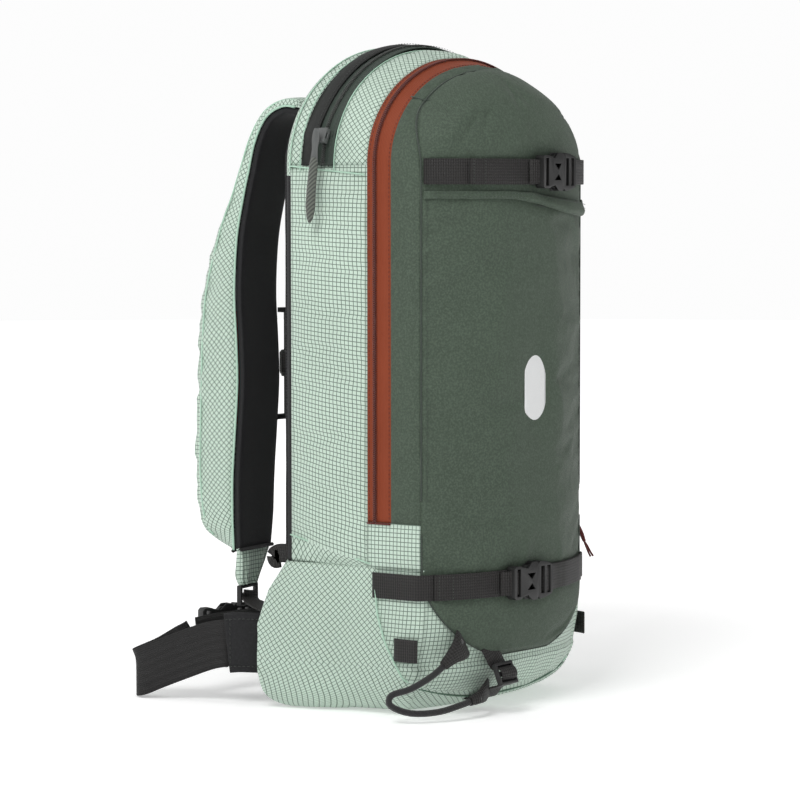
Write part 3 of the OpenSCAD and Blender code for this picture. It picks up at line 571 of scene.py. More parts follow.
def skin(name, points, looks, lift=None, centre=PACK_MIDDLE, thick=1.0, wrap=False, swell=None,
         faces_look=None, from_top=False):
    """A sheet of fabric through a grid of points (x, t, z), lifted by lift along its normal.

    swell is the pressure, extra cloth and cap that relax() takes; faces_look picks the look of each face."""
    p = metres(points)
    normals = surface_normals(p, centre)
    uvs = cloth_uv(p, from_top)
    if lift is not None:
        p = p + normals * (lift * MM)[..., None]
    rows, cols = p.shape[:2]
    faces = grid_faces(rows, cols, wrap)
    a, b, c = p.reshape(-1, 3)[list(faces[len(faces) // 2][:3])]
    n = normals.reshape(-1, 3)[faces[len(faces) // 2][0]]
    if np.dot(np.cross(b - a, c - b), n) < 0:
        faces = [tuple(reversed(f)) for f in faces]
    piece = make_object(name, p.reshape(-1, 3), faces, uvs, materials=looks)
    if faces_look is not None:
        for polygon in piece.data.polygons:
            polygon.material_index = faces_look(*divmod(polygon.index, cols if wrap else cols - 1))
    if swell:
        edge = [i for i in range(rows * cols)
                if i // cols in (0, rows - 1) or (not wrap and i % cols in (0, cols - 1))]
        relax(piece, edge, *swell)
    if thick:
        thicken(piece, thick)
    return piece


def solid_skin(name, rings, look, centre, lift=None):
    """A soft solid through closed rings of points, capped at both ends. centre is a point inside it."""
    piece = skin(name, rings, [look], lift, wrap=True, thick=0, centre=metres(centre))
    ring = len(rings[0])
    count = len(piece.data.vertices)
    mesh = bmesh.new()
    mesh.from_mesh(piece.data)
    mesh.verts.ensure_lookup_table()
    mesh.faces.new([mesh.verts[i] for i in range(ring)])
    mesh.faces.new([mesh.verts[i] for i in range(count - ring, count)])
    bmesh.ops.recalc_face_normals(mesh, faces=mesh.faces)
    mesh.to_mesh(piece.data)
    mesh.free()
    return piece


def settle(piece, body, look, *nodes):
    """The piece rides on a body, gets its look's material if it has none, and hides the CAD nodes it stands
    for.
    """
    if not piece.data.materials:
        piece.data.materials.append(LOOKS[look][0])
    if body:
        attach(piece, body)
    if nodes:
        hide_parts(*nodes)
    return piece


def ring_frames(path, up=None):
    """Forward, side and up directions along a path. up is one direction or one for each point."""
    p = np.asarray(path, float)
    forward = unit(np.gradient(p, axis=0))
    if up is None:
        ups = np.zeros_like(p)
        guess = np.array([0, 0, 1.0]) if abs(forward[0][2]) < 0.9 else np.array([1.0, 0, 0])
        for i, f in enumerate(forward):
            guess = unit(guess - f * np.dot(guess, f))
            ups[i] = guess
    else:
        up = np.asarray(up, float)
        ups = unit(up - forward * np.sum(up * forward, axis=1, keepdims=True))
    return forward, np.cross(forward, ups), ups


def sweep(name, path, section, look, up=None, scale=None):
    """A solid swept along a path in metres. section is a ring of (side, up) offsets in metres."""
    p = np.asarray(path, float)
    _, sides, ups = ring_frames(p, up)
    ring = np.asarray(section, float)
    count, size = len(p), len(ring)
    grow = np.ones(count) if scale is None else np.asarray(scale, float)
    vertices = (p[:, None] + sides[:, None] * ring[None, :, :1] * grow[:, None, None]
                + ups[:, None] * ring[None, :, 1:] * grow[:, None, None]).reshape(-1, 3)
    faces = grid_faces(count, size, True)
    faces += [tuple(range(size))[::-1], tuple((count - 1) * size + c for c in range(size))]
    around = np.concatenate([[0], np.cumsum(np.linalg.norm(np.diff(ring, axis=0), axis=1))])
    uvs = np.stack([np.tile(around, count), np.repeat(distance_along(p), size)], -1)
    piece = make_object(name, vertices, faces, uvs, [look])
    fix_normals(piece)
    return piece


def fix_normals(piece):
    mesh = bmesh.new()
    mesh.from_mesh(piece.data)
    bmesh.ops.recalc_face_normals(mesh, faces=mesh.faces)
    mesh.to_mesh(piece.data)
    mesh.free()


def circle(radius, sides=8):
    return [(radius * math.cos(2 * math.pi * k / sides), radius * math.sin(2 * math.pi * k / sides))
            for k in range(sides)]


def strap_section(width, thickness):
    """Section of a webbing strap with rounded edges: width lies along up."""
    w, h = width / 2 * MM, thickness / 2 * MM
    edge = 0.5 * MM
    half = [(h * 0.5, -w), (h, -w + edge), (h, -w / 3), (h, w / 3), (h, w - edge), (h * 0.5, w)]
    return half + [(-x, y) for x, y in reversed(half)]


def spline(a, b, c, d, share):
    """The Catmull-Rom curve between b and c."""
    return 0.5 * (2 * b + (c - a) * share + (2 * a - 5 * b + 4 * c - d) * share ** 2
                  + (3 * b - a - 3 * c + d) * share ** 3)


def smooth_path(points, steps=6, closed=False):
    """A smooth curve through points, open or closed to a ring."""
    p = np.asarray(points, float)
    padded = [p[-1], *p, p[0], p[1]] if closed else [2 * p[0] - p[1], *p, 2 * p[-1] - p[-2]]
    curve = [spline(*padded[i:i + 4], k / steps) for i in range(len(padded) - 3) for k in range(steps)]
    return np.array(curve if closed else curve + [p[-1]])


def strap(name, path, across, width, thickness, look):
    """Webbing along a path (x, t, z). across is the direction of its width."""
    p = metres(path)
    section = strap_section(width, thickness)
    piece = sweep(name, p, section, look, np.asarray(across, float) * np.array([1, -1, 1]))
    along = distance_along(p)
    layer = piece.data.uv_layers[0]
    for loop in piece.data.loops:
        row, corner = divmod(loop.vertex_index, len(section))
        layer.data[loop.index].uv = (section[corner][1], along[row])
    return piece


def join(name, pieces):
    """One object from several meshes in the same place."""
    mesh = bmesh.new()
    looks = []
    for piece in pieces:
        looks += [material for material in piece.data.materials if material not in looks]
    for piece in pieces:
        mapping = [looks.index(m) for m in piece.data.materials]
        start = len(mesh.faces)
        mesh.from_mesh(piece.data)
        mesh.faces.ensure_lookup_table()
        for face in mesh.faces[start:]:
            face.material_index = mapping[face.material_index]
        bpy.data.objects.remove(piece)
    data = bpy.data.meshes.new(name)
    mesh.to_mesh(data)
    mesh.free()
    for material in looks:
        data.materials.append(material)
    return add_object(name, data)


def resample(path, pitch):
    """Points a pitch apart along a path, in the path's own unit."""
    p = np.asarray(path, float)
    along = distance_along(p)
    count = max(2, int(along[-1] / pitch))
    wanted = np.linspace(0, along[-1], count + 1)
    return np.stack([np.interp(wanted, along, p[:, k]) for k in range(3)], -1)


def beads(name, spots, directions, size, profile, sides, look):
    """Small rounded solids at spots in metres, each with its own forward, side and up directions.

    size is length, width and height; profile gives (place along, share of the size, rise) of each ring."""
    length, width, height = (value * MM for value in size)
    last = (len(profile) - 1) * sides
    vertices, faces = [], []
    for spot, (forward, side, up) in zip(spots, directions):
        start = len(vertices)
        for along, share, rise in profile:
            vertices += [spot + forward * along * length + side * a * width * share
                         + up * (b * height * share + rise * MM) for a, b in circle(1.0, sides)]
        faces += grid_faces(len(profile), sides, True, start)
        faces += [tuple(range(start, start + sides))[::-1], tuple(range(start + last, start + last + sides))]
    piece = make_object(name, vertices, faces, materials=[look])
    fix_normals(piece)
    return piece


STITCH = [(-0.5, 0.25, 0), (-0.3, 0.9, 0), (0.3, 0.9, 0), (0.5, 0.25, 0)]
ZIP_TURN = [(-0.5, 0.45, 0.0), (-0.25, 1.0, 0.35), (0.25, 1.0, 0.35), (0.5, 0.45, 0.0)]


def stitches(path, look, length=2.4, gap=1.3, radius=0.32, name="row"):
    """A row of stitches along a path (x, t, z): short rounded threads."""
    spots = resample(metres(path), (length + gap) * MM)
    return beads(name, spots, zip(*ring_frames(spots)), (length, radius, radius), STITCH, 5, look)


def cord_piece(path, radius, look, sides=6, scale=None, name="cord"):
    """A round cord or piping along a path (x, t, z)."""
    return sweep(name, metres(path), circle(radius * MM, sides), look, scale=scale)


def moulded(node, body, look, bevel=0.5, segments=2):
    """A hard CAD part with rounded edges, in its own place."""
    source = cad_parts[node]
    piece = add_object(node + "_moulded", source.data.copy())
    piece.data.materials.clear()
    piece.data.materials.append(LOOKS[look][0])
    mesh = bmesh.new()
    mesh.from_mesh(piece.data)
    bmesh.ops.remove_doubles(mesh, verts=mesh.verts, dist=2e-6)
    bmesh.ops.dissolve_limit(mesh, angle_limit=math.radians(1), verts=mesh.verts, edges=mesh.edges)
    mesh.to_mesh(piece.data)
    mesh.free()
    piece.data.polygons.foreach_set("use_smooth", [True] * len(piece.data.polygons))
    modifier = piece.modifiers.new("rounded", "BEVEL")
    modifier.width = bevel * MM
    modifier.segments = segments
    modifier.limit_method = "ANGLE"
    modifier.angle_limit = math.radians(35)
    modifier.harden_normals = True
    return settle(piece, body, look, node)


# ---------- Fabric walls ----------

def arch_grid(low, depths, leg_step=5.0, arch_count=72, legs=True):
    """Grid over the arched outline: rows run from right to left over the arch, one column for each depth."""
    t = np.asarray(depths, float)[None, :]
    half, top = half_width(t), arch_top(t)
    angle = np.linspace(0, np.pi, arch_count)[:, None]
    arch = np.stack([half * np.cos(angle), t + 0 * angle, ARCH + (top - ARCH) * np.sin(angle)], -1)
    if not legs:
        return arch
    z = np.arange(low, ARCH - 1, leg_step)[:, None]
    right = np.stack([half + 0 * z, t + 0 * z, z + 0 * t], -1)
    left = right[::-1] * np.array([-1, 1, 1])
    return np.concatenate([right, arch, left], 0)


def boot_line(t):
    """Height of the slanted seam where the bias-cut base meets the straight-cut side."""
    return BOOT + 1 + 22 * (1 - t / COIL)


def side_grid(sign, t, z, outward=0.0):
    """Grid of points on a straight side: sign is -1 on the left and 1 on the right."""
    return np.stack([sign * (half_width(t) + outward) + 0 * z, t + 0 * z, z + 0 * t], -1)


def side_panels():
    t = np.linspace(BACK_EDGE, TAPE_INNER - 0.3, 20)[None, :]
    below, above = np.linspace(0, 1, 8)[:-1, None], np.linspace(0, 1, 60)[:, None]
    seam = boot_line(t)
    z = np.concatenate([BOOT - 1 + (seam - BOOT + 1) * below, seam + (ARCH - seam) * above])
    fade = edge_fade(len(z), 20, 4) * np.clip(np.arange(20) / 9, 0, 1)

    def look(row, column):
        return 1 if row < len(below) else 0

    for sign, node in ((-1, "side_panel_left"), (1, "side_panel_right")):
        points = side_grid(sign, t, z)
        p = metres(points)
        folds = 1.5 * ripple(p, 45, 3 + sign, (1, 0.6, 1.9)) + 1.4 * creases(p, 34, 5 + sign, (1, 0.45, 2.4))
        piece = skin(node + "_cloth", points, ["mint_straight", "mint_bias"], fade * (1.6 + folds),
                     swell=(1.0, 0.012, 4), faces_look=look)
        settle(piece, "pack", "mint_straight", node)


def top_panels():
    for node, low, high, seed in (("top_panel_rear", BACK_EDGE, 19.5, 11),
                                  ("top_panel_front", 49.5, TAPE_INNER - 0.3, 12)):
        depths = np.linspace(low, high, max(5, int((high - low) / 3)))
        points = arch_grid(ARCH, depths, legs=False)
        p = metres(points)
        folds = 0.9 * ripple(p, 26, seed) + 0.5 * creases(p, 24, seed)
        lift = edge_fade(len(points), len(depths), 2) * (0.8 + folds)
        piece = skin(node + "_cloth", points, ["mint_bias"], lift, swell=(0.8, 0.008, 3))
        settle(piece, "pack", "mint_bias", node)


def bias_edge(z):
    """Depth at which the bias-cut side of the base meets its straight-cut front."""
    return COIL + 1.5 + 31 * max(0.0, (BOOT - z) / 93) ** 2.2


def toe_seam(x):
    """Height of the curved seam along the front of the bottom."""
    return 9 + 16 * (x / 95) ** 2


def boot_ring(z, shrink):
    """A level ring round the base, with flared back corners. shrink draws it in for the bottom."""
    back_half = BACK_HALF + 4 * math.sin(math.pi * min(1, z / BOOT)) - float(edge_inset(z, 24))
    back_t = float(edge_inset(z, 16))
    corner = 4 + (BACK_ROUND - 4) * min(1, max(0, (z - 62) / (BOOT - 62)))
    flare = math.sin(math.pi / 2 * min(1.0, (BOOT - z) / 50))
    wide, rear = back_half + 13 * flare, back_t - 8 * flare
    back = [(s * (wide - corner), back_t + (rear - back_t) * s ** 2) for s in (0.1, 0.4, 0.7, 0.9)]
    corners = [(wide - corner, rear), (wide - corner * 0.3, rear + corner * 0.25), (wide, rear + corner)]
    half = float(front_half(z))
    depth = float(front_depth(1.0, z)) - 7 - back_t
    side = [(back_half + (half - back_half) * s + 7 * flare * (s < 0.4), back_t + 4 + depth * s)
            for s in (0.3, 0.5, 0.75)]
    under = 1.2 if z < 40 else 2.8
    front = [(u * half, float(front_depth(u, z)) - under) for u in (1, 0.93, 0.8, 0.6, 0.35, 0.1)]
    right = back + corners + side + front
    loop = right + [(-x, t) for x, t in reversed(right)]
    loop = smooth_path([(x, t, z) for x, t in loop], 9, closed=True)
    middle = np.array([0, 64, z])
    return middle + (loop - middle) * np.array([shrink, shrink, 1])


def boot():
    """The mint base: rings from the middle of the bottom outwards and up."""
    levels = [(0.0, s) for s in (0.03, 0.3, 0.55, 0.78, 0.92)]
    levels += [(z, 1.0) for z in (0, 0.6, 1.8, 3.6, 6, 9, 12)]
    first_side = len(levels)
    levels += [(z, 1.0) for z in np.linspace(14, BOOT - 0.5, 50)]
    points = np.array([boot_ring(z, s) for z, s in levels])
    p = metres(points)
    t, z = points[..., 1], points[..., 2]
    rise = np.clip((z - 2) / 20, 0, 1) * np.sin(np.pi / 2 * np.clip((BOOT - z) / 46, 0, 1))
    lift = rise * (1.2 + 1.3 * ripple(p, 38, 21) + 1.2 * creases(p, 34, 22, (1, 1, 1.5)))
    lift *= 1 - 0.85 * np.clip((t - 116) / 8, 0, 1) * np.clip((z - 36) / 10, 0, 1)
    lift *= 1 - 0.9 * hump(z, LOWER_STRAP, 15) * (t > 78)

    def look(row, column):
        x, t, z = points[row, column]
        return 1 if t > bias_edge(z) and z > toe_seam(x) else 0

    piece = skin("base_boot_cloth", points, ["mint_bias", "mint_straight"], lift, wrap=True, thick=1.2,
                 faces_look=look, centre=metres([0, 64, 70]), from_top=True)
    settle(piece, "pack", "mint_bias", "base_boot")
    seams = []
    for sign in (-1, 1):
        line = []
        for row in range(first_side + 5, len(levels)):
            wanted = bias_edge(levels[row][0])
            side = [i for i in range(points.shape[1]) if points[row, i, 0] * sign > 50]
            best = min(side, key=lambda i: abs(points[row, i, 1] - wanted))
            x, _, height = points[row, best]
            line.append([x + sign * (1.2 + 2.2 * rise[row, best]), wanted, height])
        seams.append(cord_piece(smooth_path(line[::3], 4), 0.8, "mint_thread"))
    # The seam along the front of the bottom is a dark green cord: painted shadow along a real seam
    bottom = [on_front(x, toe_seam(x), 0.4) for x in np.linspace(-90, 90, 40)]
    seams.append(cord_piece(bottom, 0.8, "painted_seam_shadow"))
    settle(join("boot_seams", seams), "pack", "mint_thread")


def zip_end_patches():
    pieces = []
    z = np.linspace(BOOT - 1.5, ZIP_END + 0.5, 12)[:, None]
    t = np.linspace(TAPE_INNER - 0.5, SEAM - 0.5, 14)[None, :]
    for sign in (-1, 1):
        points = side_grid(sign, t, z, 0.2)
        lift = edge_fade(12, 14, 2) * (0.8 + 0.8 * ripple(metres(points), 22, 31 + sign))
        pieces.append(skin("patch", points, ["mint_straight"], lift, thick=0))
    piece = join("zip_end_patches_cloth", pieces)
    thicken(piece, 1.0)
    settle(piece, "pack", "mint_straight", "zip_end_patches")


# ---------- Front zip ----------

def path_normals(path):
    """Outward normals of a path that runs over the arch in a level plane."""
    forward = np.gradient(path, axis=0)
    return unit(np.stack([forward[:, 2], 0 * forward[:, 0], -forward[:, 0]], -1))


def outline_path(t, low, outward=0.0, pitch=2.0):
    """The pack's outline at a depth, from a height on the right side to the same height on the left."""
    path = resample(arch_grid(low, [t, t + 0.01])[:, 0], pitch)
    return path + path_normals(path) * outward


def zip_teeth(name, path, normal, t_shift, look, pitch=1.7, phase=0.0):
    """The wound coil of one side of a zip: a rounded turn every pitch, lying across the path."""
    p = metres(path + np.array([0, t_shift, 0]))
    up = normal * np.array([1, -1, 1])
    along = distance_along(p)
    wanted = np.arange(phase * MM, along[-1], pitch * MM)
    spots, ups = (np.stack([np.interp(wanted, along, v[:, k]) for k in range(3)], -1) for v in (p, up))
    across = np.array([0, 1.0, 0])
    directions = [(across, np.cross(across, u), u) for u in ups]
    return beads(name, spots, directions, (2.7, 0.5, 0.62), ZIP_TURN, 6, look)


def zip_ends(name, body, signs, depths):
    """The short bound ends of the front zip's tape."""
    ends = [cord_piece([(sign * (half_width(t) + 0.7), t, ZIP_END - 0.2) for t in depths], 0.8, "coil")
            for sign in signs]
    settle(join(name, ends), body, "coil")


def front_zip():
    for node, body, low, high, count, shift, phase in (
            ("front_zip_tape_inner", "pack", TAPE_INNER - 0.4, COIL, 8, -0.75, 0.0),
            ("front_zip_tape_outer", "front_flap", COIL + 0.3, TAPE_OUTER + 0.4, 12, 0.95, 0.85)):
        points = arch_grid(ZIP_END, np.linspace(low, high, count), 4.0, 84)
        lift = 0.9 * hump(points[..., 1], COIL, 1.6) + 0.35 * ripple(metres(points), 22, 51) - 0.3
        settle(skin(node + "_cloth", points, ["orange"], lift), body, "orange", node)
        path = outline_path(COIL, ZIP_END + 0.5, 0.0, 1.5)
        normal = path_normals(path)
        settle(zip_teeth(node + "_coil", path + normal, normal, shift, "coil", 1.7, phase), body, "coil")
    for t, body in ((TAPE_INNER + 1.4, "pack"), (TAPE_OUTER - 1.6, "front_flap")):
        path = outline_path(t, ZIP_END + 1, 0.1)
        settle(stitches(path, "coil", 2.2, 1.2, 0.28, "zip_stitching_" + body), body, "coil")
    zip_ends("zip_ends_inner", "pack", (1, -1), np.linspace(TAPE_INNER, COIL, 5))
    zip_ends("zip_ends_outer", "front_flap", (-1, 1), np.linspace(COIL + 0.4, TAPE_OUTER, 8))


def gusset_strip():
    """The green strip between the front zip and the seam of the front panel."""
    share = np.linspace(0, 1, 12)
    points = arch_grid(ZIP_END, TAPE_OUTER + (SEAM - 0.2 - TAPE_OUTER) * share, arch_count=84)
    leg = (len(points) - 84) // 2
    for row, angle in enumerate(np.linspace(0, np.pi, 84), leg):
        points[row] = [on_arch(angle, t) for t in TAPE_OUTER + (seam_depth(angle) - 0.2 - TAPE_OUTER) * share]
    p = metres(points)
    folds = 1.1 * ripple(p, 34, 61, (1, 0.5, 1.6)) + 0.9 * creases(p, 30, 62, (1, 0.4, 1.8))
    lift = edge_fade(len(points), 12, 2.5) * (0.8 + folds)
    # The strip wears the darker copy of the green twill: painted shade on the side-facing gusset
    piece = skin("gusset_strip_cloth", points, ["green_side_shaded"], lift, swell=(0.8, 0.012, 3))
    settle(piece, "front_flap", "green_side_shaded", "gusset_strip")


# ---------- Front panel ----------

# Folds pulled into the front fabric: both ends (x, z), half width and height
FRONT_FOLDS = [(-74, 478, -62, 467, 4, -2.6), (74, 478, 62, 467, 4, -2.6),
               (-51, 467, -74, 442, 4.5, -2.8), (-41, 469, -56, 446, 5, -2.4), (-60, 470, -84, 446, 5, 1.8),
               (-96, 388, -62, 399, 5, 2.2), (-96, 366, -56, 380, 7, 2.4), (-96, 340, -66, 352, 7, 1.8),
               (-96, 312, -60, 318, 8, 1.6), (-96, 262, -58, 272, 9, 1.5), (-96, 214, -62, 206, 8, 1.6),
               (-92, 160, -56, 146, 7, 1.8), (-60, 116, -48, 142, 6, 1.8), (-12, 116, -4, 146, 7, 1.7),
               (40, 116, 44, 150, 7, 1.5), (60, 392, 84, 372, 6, 1.8)]
DART = ((72, 476), (69, 474), (66, 471.5), (62, 469), (58, 467))  # the short seam that shapes the dome: x, z
DART_ANGLE = 49                                                   # where it meets the arch, from the crest


def soft_fold(x, z, x0, z0, x1, z1, wide):
    """1 along the line between two places, fading to 0 away from it and lower towards its second end."""
    run, rise = x1 - x0, z1 - z0
    share = np.clip(((x - x0) * run + (z - z0) * rise) / (run ** 2 + rise ** 2), 0, 1)
    far = np.hypot(x - x0 - share * run, z - z0 - share * rise)
    return hump(far, 0, wide * (0.6 + 0.6 * share)) * np.cos(share * np.pi / 2.4)


def seam_depth(angle):
    """Depth of the seam round the dome: it steps back from the edge of the front."""
    rise = np.clip(np.minimum(angle, np.pi - angle) / math.radians(38), 0, 1)
    return SEAM - 15.5 * rise * rise * (3 - 2 * rise)


def on_arch(angle, t, outward=0.0):
    """A point on the arch of the pack at a depth: x, t, z."""
    return np.array([(half_width(t) + outward) * math.cos(angle), t,
                     ARCH + (arch_top(t) + outward - ARCH) * math.sin(angle)])


def dome_edge(points):
    """Draws the rim of the dome back to its seam. Points further in stay where they are."""
    x, z = points[..., 0] / FRONT_HALF, (points[..., 2] - ARCH) / DOME
    angle = np.arctan2(np.maximum(0, z), x)
    near = np.clip((np.hypot(x, z) - 0.8) / 0.2, 0, 1) ** 2 * (z > 0)
    rim = np.stack([FRONT_HALF * np.cos(angle), SEAM + 0 * angle, ARCH + DOME * np.sin(angle)], -1)
    t = seam_depth(angle)
    seam = np.stack([half_width(t) * np.cos(angle), t, ARCH + (arch_top(t) - ARCH) * np.sin(angle)], -1)
    return points + near[..., None] * (seam - rim)


def front_panel():
    low = np.concatenate([np.linspace(PANEL_LOW, 60, 10), np.linspace(64, FOLD - 4, 22)])
    straight = np.linspace(FOLD, ARCH, 76)
    angles = np.radians(np.linspace(0, 88, 26)[1:])
    z = np.concatenate([low, straight, ARCH + DOME * np.sin(angles)])[:, None]
    share = np.where(z < BOOT, np.sqrt(np.maximum(0, 1 - ((BOOT - z) / (BOOT - PANEL_LOW + 4)) ** 2)), 1.0)
    u = np.linspace(-1, 1, 76)[None, :] * share
    points = dome_edge(np.stack([u * front_half(z), front_depth(u, z), z + 0 * u], -1))
    p = metres(points)
    x = points[..., 0]
    tight = hump(z, UPPER_STRAP, 14) + hump(z, LOWER_STRAP, 14)
    sewn = hump(z, LIP_TOP - 6, 10) + hump(z, MARK[1], 36) * hump(x, MARK[0], 20)
    calm = np.minimum(1, tight + sewn)
    folds = (1.5 * ripple(p, 70, 71, (0.7, 1, 1.3)) + 1.1 * ripple(p, 36, 72, (0.6, 1, 1.8))
             + 1.2 * creases(p, 75, 73, (0.5, 1, 1.5)))
    drawn = sum(depth * soft_fold(x, points[..., 2], *ends, wide) for *ends, wide, depth in FRONT_FOLDS)
    lift = edge_fade(len(z), 76, 4) * (folds * (1 - 0.85 * calm) - 1.3 * tight + drawn)
    swell = (0.6, 0.012, 4 * (1 - 0.9 * calm))
    piece = skin("front_panel_cloth", points, ["green"], lift, thick=1.4, swell=swell)
    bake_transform(piece)
    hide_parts("front_panel", "lower_front_panel")
    front_seams(points, z[:, 0], len(low), len(low) + len(straight) - 1)


def front_seams(points, z, fold_row, arch_row):
    """Seams and stitching of the green front. points and z are its grid and the heights of its rows."""
    edge = [points[r, 0] for r in range(fold_row - 1, -1, -1)] + list(points[0, 1:-1])
    edge = np.array(edge + [points[r, -1] for r in range(fold_row)]) + np.array([0, 0.4, 0])
    piece = cord_piece(resample(edge, 3), 0.6, "green_thread", name="lower_panel_seam")
    settle(piece, "pack", "green_thread")
    first = fold_row + 6
    leg = [points[r, 0] for r in range(first, arch_row)]
    arch = [on_arch(a, float(seam_depth(a)), 0.3) for a in np.linspace(math.pi, 0, 60)]
    seam = resample(leg + arch + [p * np.array([-1, 1, 1]) for p in reversed(leg)], 3)
    piece = cord_piece(seam + np.array([0, 0.2, 0]), 0.7, "green_thread", name="front_seam")
    settle(piece, "front_flap", "green_thread")
    lines = []
    for share, rows in ((-0.965, range(first, arch_row)), (0.965, range(arch_row - 1, first - 1, -1))):
        line = [(share * front_half(z[r]), front_depth(share, z[r]) + 0.8, z[r]) for r in rows]
        lines.append(stitches(line, "green_thread", 2.3, 1.2, 0.25))
    for sign in (-1, 1):
        turn = math.radians(90 - sign * DART_ANGLE)
        dart = [on_arch(turn, 113, 0.6), *dome_edge(np.array([on_front(sign * x, h, 0.5) for x, h in DART]))]
        lines.append(cord_piece(smooth_path(dart, 4), 0.6, "green_thread"))
        cross = [on_arch(turn, t, 1.7) for t in (TAPE_OUTER, 105, 109, 112.5)]
        lines.append(cord_piece(smooth_path(cross, 3), 0.6, "green_thread"))
    settle(join("front_stitching", lines), "front_flap", "green_thread")


def pocket_lip():
    """The hem of the stretch pocket below the upper strap. It gapes on its right part."""
    def opening(x):
        return np.clip((x + 25) / 70, 0, 1)

    rings = []
    for x in np.linspace(-97, 88, 60):
        gape = opening(x) * np.clip((92 - x) / 14, 0.15, 1)
        top = LIP_TOP - 3.5 * gape - max(0.0, x) * 0.07
        high, out = 3 + 2.75 * gape, 0.6 + 2.75 * gape
        ring = []
        for a in 2 * np.pi * np.arange(14) / 14:
            belly = math.sin(a) * (1.25 if math.cos(a) < 0 else 0.8)
            ring.append(on_front(x, top - high + high * math.cos(a), 1.2 + out + (out + 0.3) * belly))
        rings.append(ring)
    lift = 0.5 * ripple(metres(rings), 14, 81)
    piece = solid_skin("pocket_lip_cloth", rings, "green", [0, 120, LIP_TOP - 5], lift)
    settle(piece, "front_flap", "green", "pocket_lip")
    lines = []
    for drop in (1.6, 4.6):
        line = [on_front(x, LIP_TOP - drop - 3.5 * opening(x) - max(0.0, x) * 0.07, 3.0 + 4.2 * opening(x))
                for x in np.linspace(-90, 84, 50)]
        lines.append(stitches(line, "green_thread", 2.2, 1.2, 0.28))
    # The tapered cord called fold, in dark thread green, is painted shade in the gap behind the gaping hem
    fold = [on_front(x, LIP_TOP - 11.5 - max(0.0, x) * 0.05, 1.2) for x in np.linspace(-5, 82, 24)]
    lines.append(cord_piece(fold, 1.6, "green_thread", scale=np.sin(np.linspace(0.15, 2.9, 24))))
    settle(join("pocket_lip_stitching", lines), "front_flap", "green_thread")


# ---------- Compression straps ----------

def front_strap(node, body, plug_body, z, tack, bar, tail, wrap_side):
    """The webbing under a buckle, its doubled part up to the buckle's bar, and the plug's loose tail."""
    across, width = (0, 0, 1), 20
    under = [on_front(x, z, 1.8) for x in np.linspace(-FRONT_HALF + 0.5, FRONT_HALF - 1, 40)]
    if wrap_side:
        right = [np.array([half_width(t) + 3.4 + 0.02 * (t - 87), t, z]) for t in np.linspace(87, 120, 9)]
        right += [np.array([half_width(124) + 3.6, 125.5, z]), np.array([half_width(126) + 1.2, 129.6, z])]
        left = [p * np.array([-1, 1, 1]) for p in right]
        under = smooth_path(left + under[3:-3] + right[::-1], 2)
    double = [on_front(x, z, 3.6) for x in np.linspace(tack, bar, 14)]
    loop = [on_front(bar + x, z, d)
            for x, d in ((-4, 3.6), (0, 4.6), (3, 6.6), (2.2, 9.2), (-2, 10.2), (-7, 8.4), (-13, 5.6))]
    pieces = [strap("under", under, across, width, 1.5, "webbing"),
              strap("double", double, across, width, 1.4, "webbing"),
              strap("loop", smooth_path(loop, 4), across, width - 1, 1.3, "webbing")]
    end = [on_front(x, z, d) for x, d in tail]
    loose = strap(node + "_tail", smooth_path(end, 4), across, width, 1.4, "webbing")
    settle(loose, plug_body, "webbing")
    for x in (tack + 3, tack + 13):
        line = [on_front(x, z + dz, 4.5) for dz in np.linspace(-8, 8, 9)]
        pieces.append(stitches(line, "dark_thread", 1.6, 0.5, 0.35))
    settle(join(node + "_webbing", pieces), body, "webbing", node)


def compression_straps():
    tail = [(38, 8.6), (44, 9.4), (52, 7.0), (62, 4.4), (74, 3.9), (90, 3.9)]
    front_strap("upper_strap", "front_flap", "upper_male", UPPER_STRAP, -66, 5.5, tail, False)
    tail = [(5, 8.6), (11, 9.4), (19, 7.0), (30, 4.4), (50, 3.9), (82, 3.9)]
    front_strap("lower_strap", "pack", "lower_male", LOWER_STRAP, -92, -26.5, tail, True)
    for place, body in (("upper", "front_flap"), ("lower", "pack")):
        moulded(place + "_buckle_female", body, "black_plastic", 0.7)
        moulded(place + "_buckle_male", place + "_male", "black_plastic", 0.6)


# ---------- Zip sliders and pullers ----------

def taper(count, places, sizes):
    """Size along a swept piece, from its sizes at some shares of its length."""
    return np.interp(np.linspace(0, 1, count), places, sizes)


